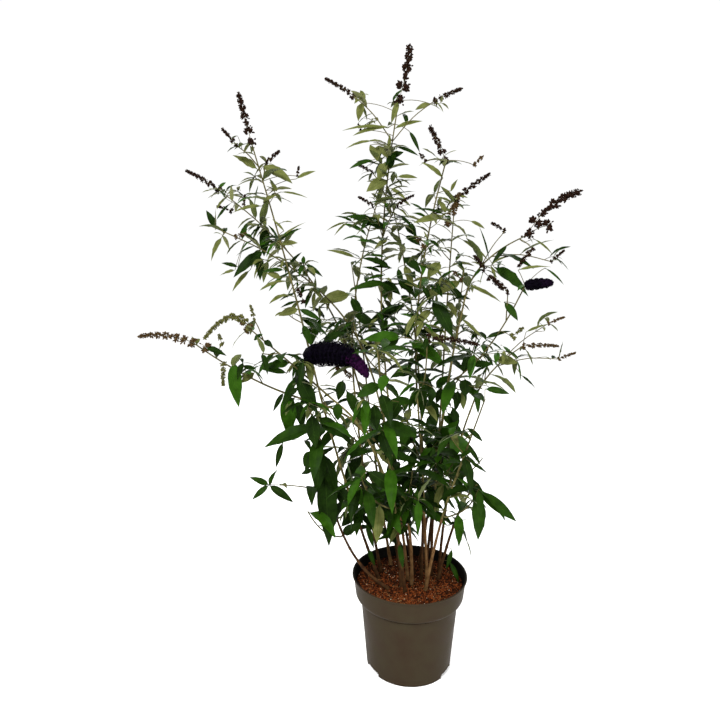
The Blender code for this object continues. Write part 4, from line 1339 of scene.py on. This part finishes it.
def add_object(name, mesh):
    obj = bpy.data.objects.new(name, mesh)
    bpy.context.scene.collection.objects.link(obj)
    return obj


def settle(obj, looks, nodes):
    """Give a piece its looks and its body, and hide the nodes that it stands for."""
    for look in looks:
        obj.data.materials.append(look)
    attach(obj, "root")
    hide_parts(*nodes)
    return obj


def tube(shoot, relief=None):
    """A closed tapering tube along the shoot; relief(turn, run) scales its radius."""
    points, radii, sides, first_normal = shoot
    last = len(points) - 1
    tangents = []
    for i in range(last + 1):
        tangents.append((points[min(last, i + 1)] - points[max(0, i - 1)]).normalized())
    if first_normal is not None:
        tangents[0] = first_normal
    verts = []
    across = square_to(tangents[0])
    run = 0.0
    for i, (point, tangent, radius) in enumerate(zip(points, tangents, radii)):
        run += (point - points[max(0, i - 1)]).length
        across = (across - tangent * across.dot(tangent)).normalized()
        beside = tangent.cross(across)
        for k in range(sides):
            turn = 2 * math.pi * k / sides
            size = radius * relief(turn, run) if relief else radius
            verts.append(point + (across * math.cos(turn) + beside * math.sin(turn)) * size)
    faces = [tuple(reversed(range(sides)))]
    for low in range(0, len(verts) - sides, sides):
        for i in range(sides):
            j = (i + 1) % sides
            faces.append((low + i, low + j, low + sides + j, low + sides + i))
    faces.append(tuple(range(len(verts) - sides, len(verts))))
    return verts, faces


def bark(turn, run):
    """Shallow ridges that wander up a cane, and a swelling at each node."""
    ridge = math.sin(turn * BARK_RIDGES + math.sin(run / BARK_WANDER) * 2)
    from_node = (run % CANE_NODE_SPACING - CANE_NODE_SPACING / 2) / NODE_SWELL_LENGTH
    return BARK_SLIMNESS + BARK_RELIEF * ridge + NODE_SWELL * math.exp(-from_node ** 2)


def unit(vectors):
    return vectors / np.linalg.norm(vectors, axis=-1, keepdims=True)


def frames(axes):
    """Two unit vectors square to each axis and to each other."""
    other = np.where(np.abs(axes[:, :1]) < 0.7, [[1.0, 0.0, 0.0]], [[0.0, 1.0, 0.0]])
    across = unit(np.cross(axes, other))
    return across, np.cross(axes, across)


def grid_faces(rows, columns):
    """The quads of a grid of points, row by row."""
    faces = []
    for row in range(rows):
        for column in range(columns):
            low = row * (columns + 1) + column
            high = low + columns + 1
            faces.append((low, low + 1, high + 1, high))
    return np.array(faces)


def leaf_sheets(leaves, rows, columns, rng):
    """The upper and under sheets of some leaves, and their midribs, as arrays."""
    count = len(leaves)
    root, first, bent, side = (
        np.array([tuple(getattr(leaf, part)) for leaf in leaves])[:, None]
        for part in ("root", "along", "bent", "side")
    )
    length = np.array([leaf.length for leaf in leaves])[:, None]
    half = np.array([leaf.width for leaf in leaves])[:, None] / 2
    share = np.linspace(0, 1, rows + 1) ** ROW_GROWTH
    turned_over = (share * TIP_DROOP)[None, :, None]
    heading = unit(first * (1 - turned_over) + bent * turned_over)
    steps = (heading[:, 1:] + heading[:, :-1]) / 2 * (np.diff(share) * length)[..., None]
    centre = root + np.concatenate([np.zeros((count, 1, 3)), np.cumsum(steps, axis=1)], axis=1)
    blade = np.clip((share - PETIOLE) / (1 - PETIOLE), 0, 1)
    outline = blade ** BASE_POWER * (1 - blade) ** TIP_POWER
    peak = BASE_POWER / (BASE_POWER + TIP_POWER)
    outline /= peak ** BASE_POWER * (1 - peak) ** TIP_POWER
    halves = np.maximum(half * outline, PETIOLE_HALF * (1 - LEAF_POINT * share))
    normal = np.cross(side, heading)
    twist = (rng.uniform(-TWIST_SPREAD, TWIST_SPREAD, (count, 1)) * share)[..., None]
    across = side * np.cos(twist) + normal * np.sin(twist)
    face = normal * np.cos(twist) - side * np.sin(twist)
    place = np.linspace(-1, 1, columns + 1)
    phase = rng.uniform(0, 2 * math.pi, (count, 1, 2))[:, :, (place > 0).astype(int)]
    wave = WAVE_SPREAD * np.sin(2 * math.pi * WAVES * share[None, :, None] + phase)
    fold = rng.uniform(*FOLD_SPREAD, (count, 1, 1))
    rise = halves[..., None] * np.abs(place) * (fold + wave)
    upper = centre[:, :, None] + across[:, :, None] * (halves[..., None] * place)[..., None]
    upper = upper + face[:, :, None] * rise[..., None]
    thick = LEAF_THICKNESS * (1 - np.abs(place)) * (1 - share ** 4)[:, None]
    under = upper - face[:, :, None] * thick[None, :, :, None]
    rib_half = (RIB_HALF * (1 - LEAF_POINT * share))[None, :, None]
    ribs = []
    for lift in (RIB_LIFT, -RIB_LIFT - LEAF_THICKNESS):
        middle = centre + face * lift * (1 - share ** 4)[None, :, None]
        ribs.append(np.stack([middle - across * rib_half, middle + across * rib_half], axis=2))
    return upper, under, ribs


def build_leaves(growth, masses):
    """The leaf pieces: for each tint an upper and an under sheet, then the midribs."""
    rng = np.random.default_rng(SEED)
    upper_ribs = Piece()
    under_ribs = Piece()
    for tint, leaves in growth.leaves.items():
        upper_piece = Piece()
        under_piece = Piece()
        small = [leaf for leaf in leaves if leaf.length < SMALL_SHEET]
        large = [leaf for leaf in leaves if leaf.length >= SMALL_SHEET]
        sizes = ((large, SHEET_ROWS, SHEET_COLUMNS), (small, SMALL_ROWS, SMALL_COLUMNS))
        for group, rows, columns in sizes:
            upper, under, ribs = leaf_sheets(group, rows, columns, rng)
            faces = grid_faces(rows, columns)
            upper_piece.add_copies(upper.reshape(len(group), -1, 3), faces)
            under_piece.add_copies(under.reshape(len(group), -1, 3), faces[:, FLIPPED])
            if group is large:
                rib_faces = grid_faces(rows, 1)
                upper_ribs.add_copies(ribs[0].reshape(len(group), -1, 3), rib_faces)
                under_ribs.add_copies(ribs[1].reshape(len(group), -1, 3), rib_faces[:, FLIPPED])
        upper_look = leaf_look("leaf_upper_" + tint, *UPPER_TINTS[tint])
        under_look = leaf_look("leaf_under_" + tint, *UNDER_TINTS[tint])
        upper_piece.build("leaves_upper_" + tint, upper_look, masses)
        under_piece.build("leaves_under_" + tint, under_look, masses)
    upper_ribs.build("midribs_upper", leaf_look("midrib_upper", *RIB_TINT), masses)
    under_ribs.build("midribs_under", leaf_look("midrib_under", *UNDER_RIB_TINT), masses)


def build_wood(growth, canes, masses):
    """The canes in two barks, and the stems and twigs of the masses."""
    tan = [name for name in canes if name in TAN_CANES]
    brown = [name for name in canes if name not in TAN_CANES]
    young = Piece()
    for tone, names, colours in (("tan", tan, TAN_BARK), ("brown", brown, BROWN_BARK)):
        piece = Piece()
        for name in names:
            old_wood, young_wood = split_at(canes[name], YOUNG_WOOD)
            piece.add(*tube(old_wood, bark))
            young.add(*tube(young_wood, bark))
        piece.build("canes_" + tone, bark_look("bark_" + tone, *colours), names)
    young.build("canes_young", bark_look("bark_young", *GREEN_BARK), list(canes))
    piece = Piece()
    for shoot in growth.twigs:
        piece.add(*tube(shoot))
    piece.build("twigs", bark_look("green_stem", *STEM_TINT), masses)


def build_capsules(growth, masses):
    """The spent spikes: small seed capsules, pointed at both ends."""
    for tint, capsules in growth.capsules.items():
        places = np.array([tuple(capsule[0]) for capsule in capsules])
        axes = np.array([tuple(capsule[1]) for capsule in capsules])
        sizes = np.array([capsule[2] for capsule in capsules])[:, None]
        across, beside = frames(axes)
        rings = [places - axes * sizes * CAPSULE_SLIMNESS]
        for along_share, radius_share in CAPSULE_RINGS:
            middle = places + axes * sizes * CAPSULE_SLIMNESS * along_share
            for k in range(CAPSULE_SIDES):
                turn = 2 * math.pi * k / CAPSULE_SIDES
                out = across * math.cos(turn) + beside * math.sin(turn)
                rings.append(middle + out * sizes * radius_share)
        rings.append(places + axes * sizes * CAPSULE_SLIMNESS)
        verts = np.stack(rings, axis=1)
        end = verts.shape[1] - 1
        faces = []
        for i in range(CAPSULE_SIDES):
            j = (i + 1) % CAPSULE_SIDES
            faces += [(0, j + 1, i + 1), (i + 1, j + 1, i + 1 + CAPSULE_SIDES)]
            faces += [(j + 1, j + 1 + CAPSULE_SIDES, i + 1 + CAPSULE_SIDES)]
            faces += [(i + 1 + CAPSULE_SIDES, j + 1 + CAPSULE_SIDES, end)]
        piece = Piece()
        piece.add_copies(verts, faces)
        look = bark_look("capsule_" + tint, *CAPSULE_TINTS[tint])
        piece.build("capsules_" + tint, look, masses)


def build_blooms(growth):
    """The open spikes: four-petalled florets by tint, round a dark core."""
    rng = np.random.default_rng(SEED + 1)
    nodes = ("foliage_left_high_bloom", "foliage_right_high_side")
    for tint, florets in growth.florets.items():
        places = np.array([tuple(floret[0]) for floret in florets])
        faces_out = np.array([tuple(floret[1]) for floret in florets])
        sizes = np.array([floret[2] for floret in florets])[:, None]
        across, beside = frames(faces_out)
        first_turn = rng.uniform(0, math.pi / 2, (len(florets), 1))
        piece = Piece()
        for petal in range(4):
            turn = first_turn + petal * math.pi / 2
            out = across * np.cos(turn) + beside * np.sin(turn)
            wide = np.cross(faces_out, out)
            lobes = [
                places - faces_out * sizes * 0.3,
                places + (out * 0.62 - wide * 0.42 + faces_out * 0.12) * sizes,
                places + (out - faces_out * 0.15) * sizes,
                places + (out * 0.62 + wide * 0.42 + faces_out * 0.12) * sizes,
            ]
            piece.add_copies(np.stack(lobes, axis=1), [(0, 1, 2, 3)])
        look = petal_look("petal_" + tint, *PETAL_TINTS[tint])
        piece.build("florets_" + tint, look, nodes)
    core = Piece()
    for shoot in growth.cores:
        core.add(*tube(shoot))
    core.build("bloom_cores", petal_look("bloom_core", *PETAL_TINTS["core"]), nodes)


# Pot and soil


def arc(middle, radius, first, last, points):
    """Points on an arc of the profile, by its angles in degrees."""
    turns = [math.radians(first + (last - first) * i / points) for i in range(points + 1)]
    return [(middle[0] + radius * math.cos(t), middle[1] + radius * math.sin(t)) for t in turns]


def collar_step(low_radius, high_radius, z):
    """The rounded step from the pot's body out to its collar."""
    points = []
    for i in range(ROUND_POINTS + 1):
        turn = math.pi / 2 * i / ROUND_POINTS
        radius = low_radius + (high_radius - low_radius) * math.sin(turn)
        points.append((radius, z + (high_radius - low_radius) * (1 - math.cos(turn))))
    return points


def turned(name, profile, inner_from):
    """A solid of revolution round Z; bands from inner_from on take the second look."""
    verts = [(0.0, 0.0, profile[0][1]), (0.0, 0.0, profile[-1][1])]
    for radius, z in profile[1:-1]:
        for i in range(POT_SIDES):
            turn = 2 * math.pi * i / POT_SIDES
            verts.append((radius * math.cos(turn), radius * math.sin(turn), z))
    bands = len(profile) - 3
    faces = []
    looks = []
    for i in range(POT_SIDES):
        j = (i + 1) % POT_SIDES
        faces.append((0, 2 + j, 2 + i))
        looks.append(0)
        for band in range(bands):
            low = 2 + band * POT_SIDES
            high = low + POT_SIDES
            faces.append((low + i, low + j, high + j, high + i))
            looks.append(int(band >= inner_from))
        top = 2 + bands * POT_SIDES
        faces.append((1, top + i, top + j))
        looks.append(1)
    mesh = bpy.data.meshes.new(name)
    mesh.from_pydata(verts, [], faces)
    mesh.polygons.foreach_set("material_index", looks)
    mesh.update()
    return add_object(name, mesh)


def build_pot():
    """The pot with rounded foot, collar and rim, and its drain cut-outs."""
    collar_foot = POT_HEIGHT - COLLAR_DEPTH
    rounding = (BASE_RADIUS - BASE_ROUNDING, BASE_ROUNDING)
    profile = [(0.0, 0.0)] + arc(rounding, BASE_ROUNDING, -90, 0, ROUND_POINTS)
    profile += [
        (BODY_RADIUS, collar_foot - GROOVE_HEIGHT * 1.3),
        (BODY_RADIUS - GROOVE_DEPTH, collar_foot - GROOVE_HEIGHT),
        (BODY_RADIUS - GROOVE_DEPTH, collar_foot - GROOVE_HEIGHT * 0.3),
    ]
    profile += collar_step(BODY_RADIUS, COLLAR_FOOT_RADIUS, collar_foot)
    bead = RIM_LIP / 2
    profile += [(COLLAR_RADIUS, POT_HEIGHT - RIM_LIP - bead / 2)]
    profile += arc((RIM_RADIUS - bead, POT_HEIGHT - bead), bead, -60, 90, ROUND_POINTS)
    inner_from = len(profile) - 2
    profile += [(COLLAR_RADIUS - WALL, POT_HEIGHT - WALL)]
    inner = collar_step(BODY_RADIUS - WALL, COLLAR_FOOT_RADIUS - WALL, collar_foot)
    profile += inner[::-1] + [(BASE_RADIUS - WALL, FLOOR), (0.0, FLOOR)]
    pot = turned("pot_shell", profile, inner_from)
    looks = [plastic_look("moulded_plastic", *POT_TINT), plastic_look("pot_inside", *INSIDE_TINT)]
    settle(pot, looks, ["pot"])
    for i in range(NOTCHES):
        cut_notch(pot, NOTCH_FIRST - 2 * math.pi * i / NOTCHES)
    evaluated = pot.evaluated_get(bpy.context.evaluated_depsgraph_get())
    cut = bpy.data.meshes.new_from_object(evaluated)
    pot.modifiers.clear()
    pot.data = cut
    for cutter in [obj for obj in bpy.data.objects if obj.name.startswith("drain_cutter")]:
        bpy.data.objects.remove(cutter)
    cut.shade_smooth()
    cut.set_sharp_from_angle(angle=math.radians(35))


def cut_notch(pot, turn):
    """A drain cut-out in the foot of the wall."""
    mesh = bpy.data.meshes.new("drain_cutter")
    builder = bmesh.new()
    bmesh.ops.create_cube(builder, size=1.0)
    size = (NOTCH_DEPTH * 2, NOTCH_WIDTH, NOTCH_HEIGHT * 2)
    bmesh.ops.scale(builder, vec=size, verts=builder.verts)
    bmesh.ops.bevel(
        builder,
        geom=[edge for edge in builder.edges if abs(edge.verts[0].co.x - edge.verts[1].co.x) > NOTCH_DEPTH],
        offset=NOTCH_ROUNDING,
        segments=4,
        affect="EDGES",
    )
    builder.to_mesh(mesh)
    builder.free()
    cutter = add_object("drain_cutter", mesh)
    cutter.location = (BASE_RADIUS * math.cos(turn), BASE_RADIUS * math.sin(turn), 0.0)
    cutter.rotation_euler = (0.0, 0.0, turn)
    cut = pot.modifiers.new("drain", "BOOLEAN")
    cut.operation = "DIFFERENCE"
    cut.object = cutter


def soil_height(x, y):
    """The lumpy top of the soil, a little lower towards the wall."""
    lumps = noise.noise(Vector((x, y, 0.0)) / SOIL_LUMP)
    crumbs = noise.noise(Vector((x, y, 1.0)) / SOIL_LUMP * 3.7)
    edge = math.hypot(x, y) / COLLAR_FOOT_RADIUS
    return SOIL_TOP + SOIL_RELIEF * (0.6 * lumps + 0.35 * crumbs - 0.7 * edge ** 4)


def build_soil():
    """The rough top of the soil, then its crumbs, specks and fibres."""
    rng = random.Random(SEED)
    reach = COLLAR_FOOT_RADIUS - WALL - GAP
    verts = []
    for ring in range(SOIL_RINGS + 1):
        radius = reach * (ring / SOIL_RINGS) ** 0.7
        for i in range(SOIL_SIDES):
            turn = 2 * math.pi * i / SOIL_SIDES
            x, y = radius * math.cos(turn), radius * math.sin(turn)
            verts.append((x, y, soil_height(x, y)))
    for i in range(SOIL_SIDES):
        turn = 2 * math.pi * i / SOIL_SIDES
        verts.append((reach * math.cos(turn), reach * math.sin(turn), SOIL_TOP - SOIL_SKIRT))
    faces = []
    for low in range(0, len(verts) - SOIL_SIDES, SOIL_SIDES):
        for i in range(SOIL_SIDES):
            j = (i + 1) % SOIL_SIDES
            if low == 0:
                faces.append((low + i, low + SOIL_SIDES + i, low + SOIL_SIDES + j))
            else:
                faces.append((low + i, low + SOIL_SIDES + i, low + SOIL_SIDES + j, low + j))
    bed = Piece()
    bed.add(verts, faces)
    bed.build("soil_bed", bark_look("soil_bed", *SOIL_TINTS["bed"]), ["potting_soil"])
    # Dark peat crumbs lean to the back and paler ones to the front: painted shade at the back of the soil
    for tint, count, size, front in GRAIN_KINDS:
        piece = Piece()
        for _ in range(count):
            piece.add(*grain(rng, reach, size, front))
        look = bark_look("soil_" + tint, *SOIL_TINTS[tint])
        piece.build("soil_" + tint, look, ["potting_soil"])
    straws = Piece()
    for _ in range(STRAWS):
        straws.add(*tube(straw(rng, reach)))
    look = bark_look("soil_straws", *SOIL_TINTS["straw"])
    straws.build("soil_straws", look, ["potting_soil"])


def on_soil(rng, reach, front):
    """A chance place on the soil; front is how far it keeps to the front, which lets the crumbs paint shade
    at the back of the soil.
    """
    while True:
        radius = reach * math.sqrt(rng.random())
        turn = rng.uniform(0, 2 * math.pi)
        x, y = radius * math.cos(turn), radius * math.sin(turn)
        if rng.random() < 0.5 - 0.5 * front * y / reach:
            return Vector((x, y, soil_height(x, y)))


def grain(rng, reach, size, front):
    """One crumb: an uneven double pyramid."""
    place = on_soil(rng, reach - GRAIN_MARGIN, front)
    turn = rng.uniform(0, 2 * math.pi)
    scale = rng.uniform(*size) / 2
    verts = []
    for k in range(4):
        angle = turn + math.pi / 2 * k
        out = Vector((math.cos(angle), math.sin(angle), rng.uniform(-0.3, 0.3)))
        verts.append(place + out * scale * rng.uniform(0.6, 1.4))
    verts.append(place + UP * scale * rng.uniform(0.5, 1.1))
    verts.append(place - UP * scale * rng.uniform(0.5, 1.1))
    faces = []
    for k in range(4):
        j = (k + 1) % 4
        faces += [(k, j, 4), (j, k, 5)]
    return verts, faces


def straw(rng, reach):
    """One coir fibre that lies on the soil."""
    place = on_soil(rng, reach - STRAW_LENGTH, 0.0)
    turn = rng.uniform(0, 2 * math.pi)
    way = Vector((math.cos(turn), math.sin(turn), 0.0))
    size = STRAW_LENGTH * rng.uniform(0.4, 1.0)
    beside = way.cross(UP) * size * rng.uniform(-0.25, 0.25)
    points = []
    for i in range(6):
        share = i / 5
        point = place + way * size * (share - 0.5) + beside * math.sin(share * math.pi)
        point.z = soil_height(point.x, point.y) + STRAW_RADIUS + UP.z * size * 0.06 * share
        points.append(point)
    return Shoot(points, [STRAW_RADIUS] * 6, 5, None)


# Looks


def add_nodes(name, roughness):
    """A material with its shader and an object-space noise for its pattern."""
    material = bpy.data.materials.new(name)
    material.use_nodes = True
    nodes = material.node_tree.nodes
    links = material.node_tree.links
    shader = nodes["Principled BSDF"]
    shader.inputs["Roughness"].default_value = roughness
    place = nodes.new("ShaderNodeTexCoord").outputs["Object"]
    return material, nodes, links, shader, place


def pattern(nodes, links, place, size, detail):
    """A noise whose blotches measure about the size given."""
    texture = nodes.new("ShaderNodeTexNoise")
    texture.inputs["Scale"].default_value = 1 / size
    texture.inputs["Detail"].default_value = detail
    links.new(place, texture.inputs["Vector"])
    return texture.outputs["Fac"]


def colour_between(nodes, links, share, dark, light, low=0.3, high=0.7):
    ramp = nodes.new("ShaderNodeValToRGB")
    ramp.color_ramp.elements[0].position = low
    ramp.color_ramp.elements[0].color = (*dark, 1.0)
    ramp.color_ramp.elements[1].position = high
    ramp.color_ramp.elements[1].color = (*light, 1.0)
    links.new(share, ramp.inputs["Fac"])
    return ramp.outputs["Color"]


def relief(nodes, links, shader, share, depth):
    bump = nodes.new("ShaderNodeBump")
    bump.inputs["Distance"].default_value = depth
    links.new(share, bump.inputs["Height"])
    links.new(bump.outputs["Normal"], shader.inputs["Normal"])


def uneven_roughness(nodes, links, shader, share, low, high):
    spread = nodes.new("ShaderNodeMapRange")
    spread.inputs["From Min"].default_value = 0.3
    spread.inputs["From Max"].default_value = 0.7
    spread.inputs["To Min"].default_value = low
    spread.inputs["To Max"].default_value = high
    links.new(share, spread.inputs["Value"])
    links.new(spread.outputs["Result"], shader.inputs["Roughness"])


def leaf_look(name, dark, light, roughness, sheen):
    """Leaf skin: colour that drifts along the leaf, fine veins and pores, soft gloss."""
    material, nodes, links, shader, place = add_nodes(name, roughness)
    shader.inputs["Specular IOR Level"].default_value = 0.03
    shader.inputs["Sheen Weight"].default_value = sheen
    shader.inputs["Sheen Roughness"].default_value = 0.4
    drift = pattern(nodes, links, place, 18 * MM, 3)
    links.new(colour_between(nodes, links, drift, dark, light), shader.inputs["Base Color"])
    uneven_roughness(nodes, links, shader, drift, roughness - 0.08, roughness + 0.12)
    relief(nodes, links, shader, pattern(nodes, links, place, 1.6 * MM, 2), 0.25 * MM)
    return material


def bark_look(name, dark, light, roughness, blotch, grain_size):
    """Bark, green stems, capsules and crumbs: blotches and a rough grain."""
    material, nodes, links, shader, place = add_nodes(name, roughness)
    shader.inputs["Specular IOR Level"].default_value = 0.03
    blotches = pattern(nodes, links, place, blotch, 4)
    links.new(colour_between(nodes, links, blotches, dark, light), shader.inputs["Base Color"])
    uneven_roughness(nodes, links, shader, blotches, roughness - 0.1, roughness + 0.1)
    relief(nodes, links, shader, pattern(nodes, links, place, grain_size, 3), grain_size / 2)
    return material


def petal_look(name, dark, light, roughness):
    """Velvety petals."""
    material, nodes, links, shader, place = add_nodes(name, roughness)
    shader.inputs["Specular IOR Level"].default_value = 0.02
    shades = pattern(nodes, links, place, 5 * MM, 2)
    links.new(colour_between(nodes, links, shades, dark, light), shader.inputs["Base Color"])
    relief(nodes, links, shader, pattern(nodes, links, place, 0.8 * MM, 2), 0.2 * MM)
    return material


def plastic_look(name, dark, light, low_roughness, high_roughness):
    """Moulded plastic from recycled stock: cloudy colour and gloss, faint grain."""
    material, nodes, links, shader, place = add_nodes(name, high_roughness)
    shader.inputs["Specular IOR Level"].default_value = 0.03
    clouds = pattern(nodes, links, place, 45 * MM, 5)
    links.new(colour_between(nodes, links, clouds, dark, light), shader.inputs["Base Color"])
    uneven_roughness(nodes, links, shader, clouds, low_roughness, high_roughness)
    relief(nodes, links, shader, pattern(nodes, links, place, 0.9 * MM, 3), 0.12 * MM)
    return material


# Stage


def add_area(name, place, aim, size, power):
    light = bpy.data.lights.new(name, "AREA")
    light.shape = "DISK"
    light.size = size
    light.energy = power
    lamp = bpy.data.objects.new(name, light)
    bpy.context.scene.collection.objects.link(lamp)
    lamp.location = place
    lamp.rotation_euler = (Vector(aim) - Vector(place)).to_track_quat("-Z", "Y").to_euler()


def build_stage():
    """A plain pale floor, soft studio light and the camera at the photo's place."""
    mesh = bpy.data.meshes.new("studio_floor")
    builder = bmesh.new()
    bmesh.ops.create_circle(builder, cap_ends=True, radius=FLOOR_RADIUS, segments=96)
    builder.to_mesh(mesh)
    builder.free()
    floor = add_object("studio_floor", mesh)
    paper = bpy.data.materials.new("studio_paper")
    paper.use_nodes = True
    shader = paper.node_tree.nodes["Principled BSDF"]
    shader.inputs["Base Color"].default_value = (1.0, 1.0, 1.0, 1.0)
    shader.inputs["Roughness"].default_value = 1.0
    shader.inputs["Specular IOR Level"].default_value = 0.0
    mesh.materials.append(paper)
    world = bpy.data.worlds.new("studio")
    world.use_nodes = True
    world.node_tree.nodes["Background"].inputs["Color"].default_value = (1.0, 1.0, 1.0, 1.0)
    world.node_tree.nodes["Background"].inputs["Strength"].default_value = WORLD_STRENGTH
    scene = bpy.context.scene
    scene.world = world
    scene.view_settings.view_transform = "Standard"
    for lamp in LAMPS:
        add_area(*lamp)
    lens = bpy.data.cameras.new("camera")
    lens.lens = CAMERA_LENS
    lens.sensor_width = CAMERA_SENSOR
    camera = bpy.data.objects.new("camera", lens)
    scene.collection.objects.link(camera)
    camera.location = CAMERA_PLACE
    camera.rotation_euler = CAMERA_TURN
    scene.camera = camera


def main():
    canes = {name: make_cane(*CANES[name]) for name in CANES}
    masses = [Mass(name, canes, SEED + i) for i, name in enumerate(MASSES)]
    growth = Growth()
    for mass in masses:
        growth.dress_mass(mass)
    for cane in canes.values():
        growth.dress_cane(cane)
    carriers = [*canes.values(), *(mass.stem for mass in masses)]
    holders = [point for shoot in carriers for point in shoot.points]
    for leaf in FEATURED_LEAVES:
        growth.featured_leaf(leaf, holders)
    for spike in SMALL_SPIKES:
        growth.small_spike(spike, holders)
    names = list(MASSES)
    build_leaves(growth, names)
    build_wood(growth, canes, names)
    build_capsules(growth, names)
    build_blooms(growth)
    build_pot()
    build_soil()
    build_stage()


main()
